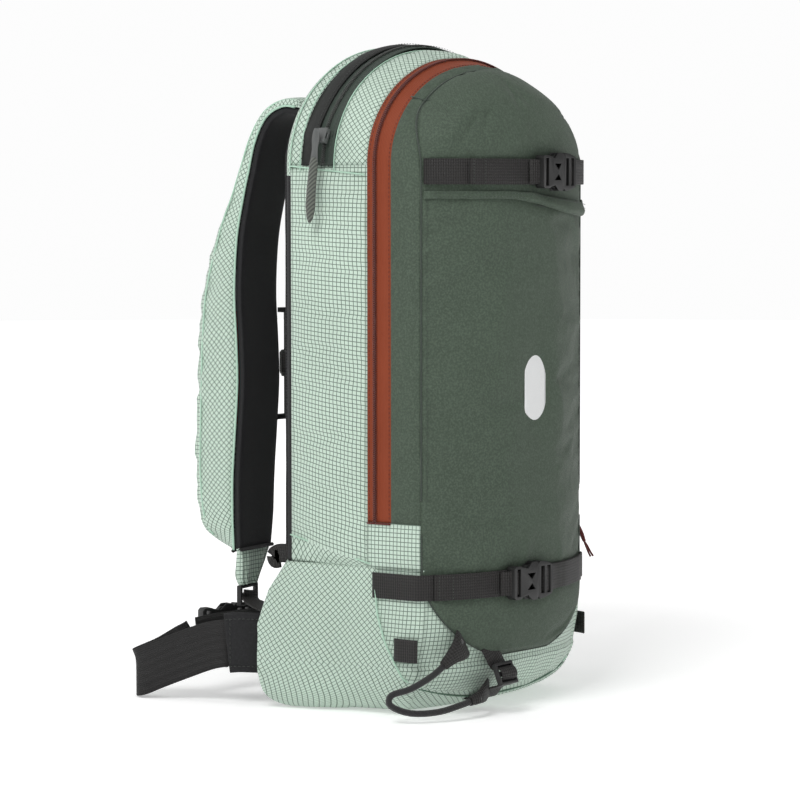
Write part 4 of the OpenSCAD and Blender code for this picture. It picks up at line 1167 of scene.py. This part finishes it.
def sliders():
    moulded("front_zip_slider", "front_slider", "grey_plastic", 0.5)
    moulded("top_zip_slider", "top_slider", "grey_plastic", 0.5)
    sleeve = smooth_path([(112.5, 89, 158), (114.5, 96, 152), (117, 104, 142), (118.5, 112, 131),
                          (119.5, 117, 120)], 4)
    grow = taper(len(sleeve), [0, 0.1, 0.5, 0.9, 1], [0.75, 1.0, 0.95, 1.1, 0.8])
    parts = [cord_piece(sleeve, 1.7, "red_cord", 10, grow)]
    for shift in (-0.9, 0.9):
        end = [(119.4, 116.6, 120.6), (119.8 + shift, 119, 116.5), (120.3 + shift * 1.6, 122, 111),
               (120.6 + shift * 2, 124, 108)]
        parts.append(cord_piece(smooth_path(end, 4), 0.8, "red_cord", 8))
    settle(join("front_zip_cord", parts), "front_pull", "red_cord", "front_zip_puller")

    def hang(x, y, z):
        """A point on the puller, which hangs a little askew from the top zip's slider."""
        turn = math.radians(6.5)
        return (-119.6 + x * math.cos(turn) + z * math.sin(turn), TOP_COIL - y,
                454.5 - x * math.sin(turn) + z * math.cos(turn))

    across = (0, 1.0, 0)
    plate = [hang(-3.0, 0, z) for z in np.linspace(4, -23, 16)]
    ring = [(a * MM, b * 4.2 * MM) for a, b in circle(1.0, 12)]
    grow = taper(16, [0, 0.1, 0.3, 0.6, 1], [0.5, 0.8, 1.0, 0.75, 1.0])
    parts = [sweep("plate", metres(plate), ring, "grey_plastic", across, grow)]
    leaf = [hang(-3.2, 0.4 * math.sin(z / 9), z) for z in np.linspace(-19, -70, 26)]
    ring = [(squared(a, 0.7) * 1.7 * MM, squared(b, 0.8) * 4.8 * MM) for a, b in circle(1.0, 16)]
    grow = taper(26, [0, 0.08, 0.3, 0.75, 0.92, 1], [0.55, 0.85, 0.9, 1.0, 0.7, 0.25])
    parts.append(sweep("leaf", metres(leaf), ring, "puller_sleeve", across, grow))
    settle(join("top_zip_sleeve", parts), "top_pull", "puller_sleeve", "top_zip_puller")


# ---------- Top zip ----------

TRACK_RADIUS = 122.0
TRACK_CENTRE = 404.0


def track_grid(radius, leg_half, depths):
    """Grid over the round track of the top zip, with a short straight leg at each end."""
    angles = np.radians(np.linspace(24, 156, 60))
    rows = [[(leg_half, t, ARCH) for t in depths]]
    rows += [[(radius * math.cos(a), t, TRACK_CENTRE + radius * math.sin(a)) for t in depths] for a in angles]
    rows += [[(-leg_half, t, ARCH) for t in depths]]
    return np.array(rows)


def top_zip():
    points = track_grid(TRACK_RADIUS, 114.5, np.linspace(19, 50, 20))
    lift = hump(points[..., 1], TOP_COIL, 1.6) - 0.4
    piece = skin("top_zip_tape_cloth", points, ["dark_tape"], lift, thick=0.9)
    settle(piece, "pack", "dark_tape", "top_zip_tape")
    points = track_grid(TRACK_RADIUS + 1.6, 116.2, np.linspace(18.4, 33.5, 10))
    across = np.clip((points[..., 1] - 18.4) / 15.1, 0, 1)
    lift = 0.9 * np.sin(np.pi * across) + 0.3 * ripple(metres(points), 20, 91)
    piece = skin("top_zip_flap_cloth", points, ["coated"], lift, thick=1.1)
    settle(piece, "pack", "coated", "top_zip_flap")
    path = resample(track_grid(TRACK_RADIUS + 0.9, 115.4, [TOP_COIL])[:, 0], 1.5)
    coils = [zip_teeth("coil", path, path_normals(path), side, "dark_thread", 1.6, phase)
             for side, phase in ((-0.8, 0.0), (0.8, 0.8))]
    settle(join("top_zip_coil", coils), "pack", "dark_thread")
    rows = [stitches(track_grid(TRACK_RADIUS + out, 116.4, [t])[:, 0], "dark_thread", 2.2, 1.2, 0.25)
            for t, out in ((20.5, 1.8), (31.8, 2.8), (48.2, 0.9))]
    settle(join("top_zip_stitching", rows), "pack", "dark_thread")
    mint_seams()


def mint_seams():
    """Seams of the mint walls: over the arch, along the sides' upper edge and above the base."""
    seams = [cord_piece(outline_path(t, ARCH - 4, 0.7, 3), 0.55, "mint_thread")
             for t in (19.0, 50.0, BACK_EDGE)]
    for sign in (-1, 1):
        line = [(sign * (half_width(t) + 1.3), t, ARCH + 0.5 - t * 0.1)
                for t in np.linspace(BACK_EDGE, TAPE_INNER - 1, 16)]
        seams.append(cord_piece(line, 0.7, "mint_thread"))
        line = [(sign * (half_width(t) + 1.6), t, boot_line(t)) for t in np.linspace(BACK_EDGE, COIL - 4, 22)]
        seams.append(cord_piece(line, 0.6, "mint_thread"))
    settle(join("mint_seams", seams), "pack", "mint_thread")


# ---------- Back ----------

def arch_half(z, half, top):
    """Half width of an arched plate at a height."""
    return half * np.sqrt(np.maximum(0, 1 - np.clip((z - ARCH) / (top - ARCH), 0, 1) ** 2))


def pad_solid(name, half, low, top, t_front, t_back, look, channel=0.0, seed=0, corner=14, thinner=0.0):
    """A soft plate with rounded edges, from t_back (towards the wearer) to t_front."""
    z = np.concatenate([low + corner * (1 - np.cos(np.linspace(0, np.pi / 2, 8))),
                        np.linspace(low + corner + 4, ARCH, 70),
                        ARCH + (top - ARCH) * np.sin(np.linspace(0.05, np.pi / 2 - 0.02, 22))])
    middle, thick = (t_front + t_back) / 2, abs(t_front - t_back) / 2
    rows = []
    for level in z:
        foot = max(0.0, (low + corner - level) / corner)
        wide = float(arch_half(level, half, top)) - corner * (1 - math.sqrt(max(0.0, 1 - foot ** 2)))
        end = min(1.0, (level - low) / 4 + 0.35, (top - level) / 4 + 0.35)
        ring = []
        for a in 2 * np.pi * np.arange(96) / 96:
            x = wide * squared(math.cos(a), 0.55)
            depth = thick * end * squared(math.sin(a), 0.35)
            if thinner and math.sin(a) < 0:
                depth *= 1 - thinner * min(1.0, max(0.0, (level - 90) / 120))
            if channel and math.sin(a) < 0:
                across = sum(hump(level, h + abs(x) * 0.25, 6) for h in CHANNELS) * (abs(x) > 9)
                groove = math.exp(-(x / 10) ** 4) + across
                depth += channel * min(1.0, groove) * min(1, (wide - abs(x)) / 12)
            ring.append((x, middle + depth, level))
        rows.append(ring)
    return solid_skin(name, rows, look, [0, middle, 270], 0.25 * ripple(metres(rows), 18, seed))


def back():
    pad = pad_solid("back_pad_foam", PAD_HALF, 32, 506, -0.3, -9.3, "mesh", 4.2, 101, thinner=0.45)
    settle(pad, "pack", "mesh", "back_pad")
    wall = pad_solid("back_wall_cloth", PAD_HALF, BOOT, 512, 1.9, 0.1, "lining", 0, 102, 4)
    settle(wall, "pack", "lining", "back_wall")
    back_edge()
    seams = []
    for height in CHANNELS:
        for sign in (-1, 1):
            line = [(sign * x, -6.3, height + x * 0.25) for x in np.linspace(13, 96, 26)]
            seams.append(stitches(line, "dark_thread", 2.4, 1.4, 0.3))
    settle(join("back_pad_stitching", seams), "pack", "dark_thread")
    for node, look in (("frame_sheet", "hdpe"), ("frame_stay", "stay_metal")):
        moulded(node, "pack", look, 0.4)
    loop = [(27 * math.cos(a), -(9.6 + 17 * math.sin(a)), 478) for a in np.linspace(0, math.pi, 30)]
    loop = [(29, -4.5, 478)] + loop + [(-29, -4.5, 478)]
    piece = strap("haul_loop_webbing", loop, (0, 0, 1), 20, 2.0, "webbing")
    settle(piece, "pack", "webbing", "haul_loop")


def back_edge():
    """The rounded binding between the sides and the back, and the piping round the pad."""
    outer = arch_grid(BOOT - 1, [BACK_EDGE])[:, 0]
    turn = np.linspace(0, np.pi / 2, 9)[None, :]
    inset = BACK_ROUND * (1 - np.cos(turn))
    x, z = outer[:, :1], outer[:, 2:]
    above = np.maximum(0, z - ARCH)
    band = np.stack([x * (1 - inset / BACK_HALF), BACK_EDGE - (BACK_EDGE + 1) * np.sin(turn) + 0 * x,
                     z - above * inset / (PACK_TOP - ARCH)], -1)

    def look(row, column):
        return 1 if outer[row, 2] > ARCH - 6 else 0

    binding = skin("back_edge_binding", band, ["lining", "mint_bias"], thick=1.2, faces_look=look)
    settle(binding, "pack", "lining")
    rim = PAD_HALF + 0.6
    edge = [(rim, -0.4, z) for z in np.linspace(40, ARCH, 60)]
    edge += [(rim * math.cos(a), -0.4, ARCH + 77 * math.sin(a))
             for a in np.linspace(0.03, math.pi - 0.03, 60)]
    edge += [(-rim, -0.4, z) for z in np.linspace(ARCH, 40, 60)]
    settle(cord_piece(resample(edge, 4), 1.3, "binding", 8, name="back_piping"), "pack", "binding")


# ---------- Shoulder straps ----------

def route(points):
    """Points given as in the CAD source (x, y from the back wall, z), as x, t, z."""
    return np.array(points) * np.array([1, -1, 1])


# Stations of the left strap: place (x, y, z), height of its puffy cover, half width of the strap
STRAP_STATIONS = [((-58, 14, 469), 14, 26), ((-59, 30, 471), 14, 27), ((-60, 45, 464), 15, 28),
                  ((-61, 56, 447), 17, 28), ((-62, 63, 425), 20, 28), ((-64, 68, 401), 24, 28),
                  ((-67, 72, 370), 33, 28), ((-72, 70, 328), 46, 28), ((-76, 64, 290), 53, 28),
                  ((-79, 60, 255), 55, 28), ((-84, 58, 215), 53, 28), ((-89, 56, 180), 50, 28),
                  ((-94, 52, 148), 44, 27), ((-98, 49, 122), 26, 24)]
TAIL_LINE = [(-98, 49, 123), (-101, 48, 110), (-104, 48, 100), (-106, 48, 93)]


def strap_stations(steps):
    """Dense stations of the left strap: place, directions across and outwards, half width, cover height."""
    line = smooth_path(route([place for place, _, _ in STRAP_STATIONS]), steps)
    index = range(len(STRAP_STATIONS))
    spot = np.linspace(0, len(STRAP_STATIONS) - 1, len(line))
    turn = np.radians(12 * np.minimum(1, spot / 4))
    across = np.stack([np.cos(turn), -np.sin(turn), 0 * turn], -1)
    normal = unit(np.cross(unit(np.gradient(line, axis=0)), across))
    if normal[len(normal) // 2][1] > 0:
        normal = -normal
    heights = smooth_path([(height, i, 0) for i, (_, height, _) in enumerate(STRAP_STATIONS)], steps)[:, 0]
    widths = np.interp(spot, index, [half for _, _, half in STRAP_STATIONS])
    return line, across, normal, widths, heights


def strap_ring(place, across, normal, half, low, high, count, square=0.4):
    """A ring round the strap, between two heights above its line."""
    ring = []
    for a in 2 * np.pi * np.arange(count) / count:
        height = (low + high) / 2 + (high - low) / 2 * squared(math.sin(a), square)
        ring.append(place + across * squared(math.cos(a), square) * half + normal * height)
    return ring


def strap_pad(side, mirror, line, across, normal, widths):
    """The foam pad with its black lining, and the gathered sleeve at its lower end."""
    rows = [strap_ring(*station, 0.2, 6.8, 32, 0.35) for station in zip(line, across, normal, widths - 0.6)]
    inner = np.array([-76, -62, 290]) * mirror
    pad = solid_skin(side + "_strap_foam", np.array(rows) * mirror, "lining", inner)
    tail = smooth_path(route(TAIL_LINE), 8)
    shares = np.linspace(0, 1, len(tail))
    rows = [strap_ring(place, across[-1], normal[-1], 24 - 13 * share ** 0.7, 0.3,
                       6.2 + 4 * math.sin(math.pi * share), 40, 0.6) for place, share in zip(tail, shares)]
    around = 2 * np.pi * np.arange(40) / 40
    gather = 0.8 * np.sin(around * 9)[None, :] * np.linspace(0.5, 1, len(tail))[:, None]
    inner = np.array([-102, -50, 108]) * mirror
    sleeve = solid_skin("tail", np.array(rows) * mirror, "mint_straight", inner, gather)
    whole = join(side + "_strap_lining", [pad, sleeve])
    settle(whole, "pack", "lining", side + "_strap_pad")


def strap_cover(side, mirror, line, across, normal, widths, heights):
    """The puffy cover: a gusset up each side and a crown. Gives its grid and the columns of its seams."""
    count, last, span, gusset = len(line), len(line) - 1, 40, 9
    rows = []
    for i in range(count):
        close = max(0.0, (i - (last - 4)) / 4)
        rise = (heights[i] - 7.6) * min(1.0, i / 3 + 0.25) * math.sqrt(max(0.06, 1 - close ** 2))
        row = []
        for a in math.pi * np.arange(span + 1) / span:
            full = max(0.0, math.sin(a))
            belly = (1 + 0.05 * full ** 2) * (1 - 0.35 * close * full)
            row.append(line[i] - across[i] * squared(math.cos(a), 0.42) * widths[i] * belly
                       + normal[i] * (7.2 + rise * full ** 0.62))
        rows.append(row)
    points = np.array(rows) * mirror
    p = metres(points)
    column, row = np.arange(span + 1)[None, :], np.arange(count)[:, None]
    fade = np.clip(np.minimum(column, span - column) / 4, 0, 1)
    fade = fade * np.clip(np.minimum(row, last - row) / 3, 0, 1)
    folds = 1.1 * ripple(p, 30, 110, (0.7, 0.7, 1.6)) + 1.3 * creases(p, 32, 111, (0.5, 0.5, 1.9))
    lift = fade * (folds - 0.6)

    def look(row, column):
        return 1 if min(column, span - 1 - column) < gusset else 0

    cover = skin(side + "_strap_cloth", points, ["mint_straight", "mint_bias"], lift, faces_look=look,
                 swell=(1.2, 0.008, 4), centre=metres(np.array([-76, -72, 290]) * mirror))
    settle(cover, "pack", "mint_straight", side + "_strap_cover")
    return points, (gusset, span - gusset)


def shoulder_strap(side, sign):
    mirror = np.array([sign, 1, 1])
    line, across, normal, widths, heights = strap_stations(6)
    strap_pad(side, mirror, line, across, normal, widths)
    points, crown = strap_cover(side, mirror, line, across, normal, widths, heights)
    trims = []
    for s in (-1, 1):
        path = (line + across * s * (widths + 0.3)[:, None] + normal * 6.9)[2:] * mirror
        trims.append(cord_piece(path, 1.0, "mint_thread"))
    trims.append(cord_piece(points[-1] + np.array([0, 0, -0.6]), 1.5, "binding", 8))
    cut = [(line[-1] + across[-1] * s * 23.5 + normal[-1] * 0.2) * mirror for s in np.linspace(-1, 1, 12)]
    trims.append(cord_piece(cut, 1.5, "binding", 8))
    for column in crown:
        trims.append(cord_piece(points[3:-3, column], 0.7, "mint_thread"))
    settle(join(side + "_strap_binding", trims), "pack", "mint_thread")


def harness():
    shoulder_strap("left", 1)
    shoulder_strap("right", -1)
    moulded("ladder_locks", "pack", "black_plastic", 0.6)
    turn = math.radians(12)
    pieces = []
    for sign in (1, -1):
        path = route([(-107, 47.5, 88), (-108, 46.5, 82), (-110, 40, 79), (-113, 30, 77.2), (-116, 20, 76.2),
                      (-118, 10.5, 75.8)])
        path = smooth_path(path * np.array([sign, 1, 1]), 5)
        pieces.append(strap("webbing", path, (math.cos(turn), -math.sin(turn) * sign, 0), 20, 1.6, "webbing"))
        tab = [(sign * -110, t, z) for t, z in ((-1, 121), (-6, 121.5), (-12, 121), (-17, 119),
                                                (-18.5, 117.5), (-17, 116), (-12, 117))]
        pieces.append(strap("tab", smooth_path(tab, 4), (0, 0.25, 1), 15, 1.5, "webbing"))
    settle(join("strap_webbing_woven", pieces), "pack", "webbing", "strap_webbing")
    moulded("sternum_rails", "pack", "black_plastic", 0.4)
    moulded("sternum_buckle_female", "sternum", "black_plastic", 0.6)
    moulded("sternum_buckle_male", "sternum_male", "black_plastic", 0.5)
    sternum_strap()
    hip_belt()


def sternum_strap():
    """The strap across the chest with the clips that slide on the rails."""
    middle = 268
    corners = ((1, 0.6), (0.6, 1), (-0.6, 1), (-1, 0.6), (-1, -0.6), (-0.6, -1), (0.6, -1), (1, -0.6))
    ring = [(a * 3.6 * MM, b * 3.4 * MM) for a, b in corners]
    pieces = []
    for sign in (-1, 1):
        path = metres([(sign * 40, -72, middle + h) for h in (-11, -10, -9, -3, 3, 9, 10, 11)])
        pieces.append(sweep("clip", path, ring, "black_plastic", (1, 0, 0),
                            [0.86, 0.97, 1, 0.93, 0.93, 1, 0.97, 0.86]))
        loop = [(sign * x, -y, middle) for x, y in ((38, 75.6), (42.6, 75.4), (44.6, 72), (42.6, 68.4),
                                                    (38, 68.6), (34, 73.6), (28, 75.6))]
        pieces.append(strap("loop", smooth_path(loop, 4), (0, 0, 1), 16, 1.2, "webbing"))
    line = [(x, -76 - 0.5 * math.cos(x / 43 * math.pi / 2), middle) for x in np.linspace(-42, 42, 40)]
    pieces.append(strap("band", line, (0, 0, 1), 18, 1.5, "webbing"))
    settle(join("sternum_strap_webbing", pieces), "sternum", "webbing", "sternum_strap")


def hip_belt():
    """The two wings with their stitching, the belt's webbing and its buckle."""
    half = [(0.5, -1), (1, -0.96), (1, -0.5), (1, 0), (1, 0.5), (1, 0.96), (0.5, 1)]
    section = [(a * 2.4 * MM, b * 24 * MM) for a, b in half + [(-a, b) for a, b in reversed(half)]]
    up = (0, 0, 1)
    pieces = []
    for sign in (1, -1):
        path = route([(-117, 9, 50), (-119, 13, 50), (-127, 20, 50), (-135, 33, 50), (-139, 42, 49)])
        path = smooth_path(path * np.array([sign, 1, 1]), 6)
        p = metres(path)
        pieces.append(sweep("wing", p, section, "lining", up))
        outward = route(ring_frames(p, up)[1])
        for face in (1, -1):
            row = path + outward * face * 2.6
            for dz in (-19, 19):
                pieces.append(stitches(row + np.array([0, 0, dz]), "dark_thread", 2.3, 1.2, 0.35))
            for spot in (row[len(row) // 3], row[-3]):
                line = [spot + np.array([0, 0, dz]) for dz in np.linspace(-19, 19, 14)]
                pieces.append(stitches(line, "dark_thread", 2.3, 1.2, 0.35))
    settle(join("hip_wing_cloth", pieces), "pack", "lining", "hip_wings")
    left = route([(-136, 39, 49), (-140.4, 44.8, 48.6), (-145, 60, 45), (-153, 85, 35), (-160, 106, 26),
                  (-163, 117, 21), (-162, 123, 19.5), (-157, 124, 20.5), (-152, 118, 24), (-146, 106, 30),
                  (-141, 95, 37), (-137, 88, 42), (-131, 84.5, 46)])
    right = route([(-131, 84.5, 46), (-112, 80, 48), (-70, 71, 49), (-20, 63, 49), (40, 58, 49), (95, 52, 49),
                   (130, 45.5, 49), (139.6, 44.6, 49)])
    pieces = [strap("belt", smooth_path(path, 6), up, 38, 1.6, "belt") for path in (left, right)]
    settle(join("hip_belt_webbing", pieces), "pack", "belt", "hip_webbing")
    moulded("hip_buckle_female", "pack", "black_plastic", 0.8)
    moulded("hip_buckle_male", "hip_male", "black_plastic", 0.7)


# ---------- Loops and tabs at the base ----------

TOOL_LOOP = [(-72, -146, 62), (-82, -147, 52), (-96, -140, 38), (-110, -128, 27), (-120, -117, 22),
             (-121, -117, 14), (-110, -128, 8), (-92, -140, 8), (-74, -148, 12), (-56, -152, 16)]


def on_adjuster(depth, height):
    """A point on the middle plane of the tilted adjuster plate: x, t, z. Depth counts inwards."""
    tilt, turn = math.radians(22), math.radians(6)
    y = depth * math.cos(tilt) + height * math.sin(tilt)
    z = -depth * math.sin(tilt) + height * math.cos(tilt)
    return np.array([-33 - y * math.sin(turn), 158.4 - y * math.cos(turn), 33 + z])


def wedge(path, across, half_widths, half_depths):
    """Webbing folded round the end of the loop: a flat tube whose width changes."""
    line = smooth_path(path, 5)
    spots = np.linspace(0, len(path) - 1, len(line))
    wide = np.interp(spots, range(len(path)), half_widths)
    deep = np.interp(spots, range(len(path)), half_depths)
    forward = unit(np.gradient(line, axis=0))
    side = unit(np.array(across) - forward * (forward @ np.array(across))[:, None])
    out = np.cross(forward, side)
    angles = 2 * np.pi * np.arange(20) / 20
    flat = np.sign(np.cos(angles)) * np.abs(np.cos(angles)) ** 0.6
    rings = (line[:, None] + side[:, None] * (wide[:, None] * flat)[..., None]
             + out[:, None] * (deep[:, None] * np.sin(angles))[..., None])
    return solid_skin("wedge", rings, "webbing", line[len(line) // 2])


def tool_loop():
    path = smooth_path(route(TOOL_LOOP), 4)
    loop = cord_piece(path, 2.6, "cable", 10, name="tool_loop_cord")
    settle(loop, "pack", "cable", "tool_loop")
    over_bar = [on_adjuster(d, h) for d, h in ((3.2, 8.5), (0.5, 5.0), (-3.2, 3.4), (-4.2, 0), (-3.2, -3.4),
                                               (0.5, -5.0), (3.4, -8.0))]
    line = [(-41, 147.5, 54), (-39, 150.5, 47), *over_bar, (-30, 146, 20), (-28, 137, 12), (-27, 126, 9.5),
            (-26, 116, 8.5)]
    strip = strap("strip", smooth_path(line, 4), (1, 0, 0), 18, 1.5, "webbing")
    top = wedge([(-66, 143.5, 60), (-70, 145.5, 58), (-76, 147.2, 55), (-83, 146.6, 50.5), (-90, 143.8, 44)],
                (-0.65, 0, 0.75), (12.5, 12, 10, 6.5, 3.6), (1.4, 2.2, 3.2, 3.5, 3.3))
    low = wedge([(-66, 150, 14), (-56, 151, 16), (-46, 148, 18), (-36, 143, 20)],
                (0.1, 0, 1), (3.6, 5, 7.5, 8.5), (3.3, 3.2, 2.6, 1.6))
    settle(join("tool_loop_strap", [strip, top, low]), "pack", "webbing")
    moulded("tool_loop_adjuster", "tool_adjuster", "black_plastic", 0.7)
    tabs = []
    for sign in (-1, 1):
        line = [(sign * (half_width(t) + 4.6 + d), t, 55)
                for t, d in ((108, 0.3), (113, 1.6), (120, 2.0), (127, 2.0), (129, 1.0))]
        tabs.append(strap("tab", smooth_path(line, 4), (0, 0, 1), 18, 1.8, "webbing"))
    settle(join("ski_tabs_webbing", tabs), "pack", "webbing", "ski_tabs")


# ---------- Inside ----------

TRIGGER_CABLE = [(-84, 86, 346.4), (-84, 86, 350), (-82, 87.5, 357), (-79, 89, 364), (-74, 89.5, 376),
                 (-70, 86.5, 392), (-67, 82, 404), (-65.5, 77.5, 419), (-63.5, 72, 437), (-62, 66, 453),
                 (-61, 59, 465), (-60, 50, 473), (-59.5, 41, 478), (-59, 31, 481), (-58, 20, 482),
                 (-58, 10, 486), (-57, 2, 489), (-57, -4, 487), (-56, -10, 480), (-54, -12, 468),
                 (-48, -12, 450), (-32, -12, 430), (-8, -12, 416), (18, -12, 406), (42, -12.5, 396),
                 (58, -13, 389), (63.5, -13.5, 382), (64, -13.5, 378.4)]


def divider():
    """The sheet that parts the inside, and the sleeves for the shovel and the probe on it."""
    outline = [(16, 72), (44, 96), (120, 101), (ARCH, 101), (470, 92), (497, 60), (508, 8)]
    z = np.linspace(16, 508, 60)[:, None]
    half = np.interp(z, [height for height, _ in outline], [wide for _, wide in outline])
    u = np.linspace(-1, 1, 30)[None, :]
    points = np.stack([u * half, 76.2 + 0 * u + 0 * z, z + 0 * u], -1)
    lift = edge_fade(60, 30, 3) * 0.5 * ripple(metres(points), 60, 121)
    sheet = skin("divider_cloth", points, ["divider"], lift, thick=1.0, centre=metres([0, 40, 250]))
    settle(sheet, "pack", "divider", "divider")
    pieces = []
    for left, wide, high in ((-84, 74, 200), (4, 34, 240), (46, 34, 240)):
        rows = []
        for level in np.linspace(60, 60 + high, 40):
            puff = math.sin(math.pi * min(1, (level - 60) / high * 1.2 + 0.1) ** 0.8)
            deep = 13.6 * (0.75 + 0.25 * puff)
            rows.append([(left + wide * s, 77.7 + deep * (1 - abs(2 * s - 1) ** 5), level)
                         for s in np.linspace(0, 1, 24)])
        points = np.array(rows)
        lift = edge_fade(40, 24, 2) * (0.8 * ripple(metres(points), 28, 122) - 0.8)
        pieces.append(skin("sleeve", points, ["sleeves"], lift, thick=0, centre=metres([0, 60, 160])))
        pieces += [cord_piece(points[row] + np.array([0, 0.3, 0]), 0.8, "binding") for row in (-1, 0)]
    settle(join("tool_sleeves_cloth", pieces), "pack", "sleeves", "tool_sleeves")


def airbag():
    """The folded airbag: a soft block with folds round it."""
    rows = []
    for z in [404.5, 406, 409, *np.linspace(413, 486, 26), 490, 493, 495.4]:
        end = min(1.0, (z - 404) / 8 + 0.5, (496 - z) / 8 + 0.5)
        fold = 1.4 * abs(math.sin((z - 404) / 92 * math.pi * 5))
        half = max(6, float(arch_half(z, 84, 496)) * 0.97 - 1.4 + fold) * (0.94 + 0.06 * end)
        deep = (25 + fold) * end
        rows.append([(squared(math.cos(a), 0.35) * half, 45 + squared(math.sin(a), 0.4) * deep, z)
                     for a in 2 * np.pi * np.arange(64) / 64])
    lift = 0.6 * ripple(metres(rows), 20, 131) - 0.5
    bag = solid_skin("airbag_folded", rows, "airbag", [0, 45, 450], lift)
    settle(bag, "pack", "airbag", "airbag")


def inside():
    divider()
    airbag()
    for node, body, look, bevel in (
            ("inflator_head", "pack", "head_metal", 1.0), ("gas_cartridges", "pack", "cartridge", 0.5),
            ("firing_lever", "lever", "lever", 0.4), ("piercing_pins", "pins", "pin_metal", 0.3),
            ("air_duct", "pack", "hdpe", 0.4), ("valve_flap", "valve", "rubber", 0.25),
            ("cable_ferrules", "pack", "stay_metal", 0.3), ("trigger_handle", "trigger", "trigger", 1.0)):
        moulded(node, body, look, bevel)
    cable = cord_piece(smooth_path(route(TRIGGER_CABLE), 5), 2.5, "cable", 12, name="trigger_cable_sheath")
    settle(cable, "pack", "cable", "trigger_cable")


# ---------- Reflective mark ----------

def front_mark():
    """A plain reflective pill, low on the front panel."""
    x, height = MARK
    rows = []
    for v in np.linspace(-1, 1, 33):
        over = max(0.0, abs(v) - 0.55) / 0.45
        half = 13 * math.sqrt(max(0.0, 1 - over ** 2)) + 0.05
        rows.append([on_front(x + u * half, height + 29 * v, 2.3) for u in np.linspace(-1, 1, 13)])
    settle(skin("reflective_pill", rows, ["mark"], thick=0.3), "front_flap", "mark")


# ---------- Floor and light ----------

def studio():
    """A pale floor that glows more further out, a backdrop only the camera sees, four lamps and a dim sky."""
    white = (1, 1, 1, 1)
    bpy.ops.mesh.primitive_circle_add(vertices=96, radius=7, fill_type="NGON", location=(0, 0, -0.0005))
    floor = bpy.context.object
    floor.name = "floor"
    s = Shader("pale_floor", 0.9, 0.1)
    s.colour(s.mix(s.noise(3.0), (0.88, 0.88, 0.88), (0.92, 0.92, 0.92)))
    s.out.inputs["Emission Color"].default_value = white
    away = s.node("VectorMath", {0: s.place()}, operation="LENGTH").outputs["Value"]
    glow = s.node("MapRange", {0: away, 1: 0.25, 2: 1.6, 3: 0.34, 4: 0.75}).outputs[0]
    s.tree.links.new(glow, s.out.inputs["Emission Strength"])
    floor.data.materials.append(s.material)
    bpy.ops.mesh.primitive_uv_sphere_add(segments=48, ring_count=24, radius=7)
    backdrop = bpy.context.object
    backdrop.name = "backdrop"
    s = Shader("pale_backdrop", 1.0, 0.0)
    s.out.inputs["Base Color"].default_value = (0, 0, 0, 1)
    s.out.inputs["Emission Color"].default_value = white
    s.out.inputs["Emission Strength"].default_value = 0.98
    backdrop.data.materials.append(s.material)
    for effect in ("visible_diffuse", "visible_glossy", "visible_shadow", "visible_transmission"):
        setattr(backdrop, effect, False)
    world = bpy.data.worlds.new("studio")
    bpy.context.scene.world = world
    world.use_nodes = True
    world.node_tree.nodes["Background"].inputs[0].default_value = white
    world.node_tree.nodes["Background"].inputs[1].default_value = 0.38
    for name, place, size, power in (("key", (-2.0, -0.6, 2.3), 1.1, 42),
                                     ("front", (-0.4, -2.8, 1.6), 1.6, 4),
                                     ("top", (0.2, -0.6, 2.8), 1.2, 9),
                                     ("back", (-1.0, 2.4, 1.8), 1.6, 14)):
        data = bpy.data.lights.new(name, "AREA")
        data.size = size
        data.energy = power
        aim(add_object(name, data), place, (0, 0, 0.3))
    bpy.context.scene.view_settings.view_transform = "Standard"


tool_loop()
side_panels()
top_panels()
boot()
zip_end_patches()
front_zip()
gusset_strip()
front_panel()
pocket_lip()
compression_straps()
sliders()
top_zip()
back()
harness()
inside()
front_mark()
studio()
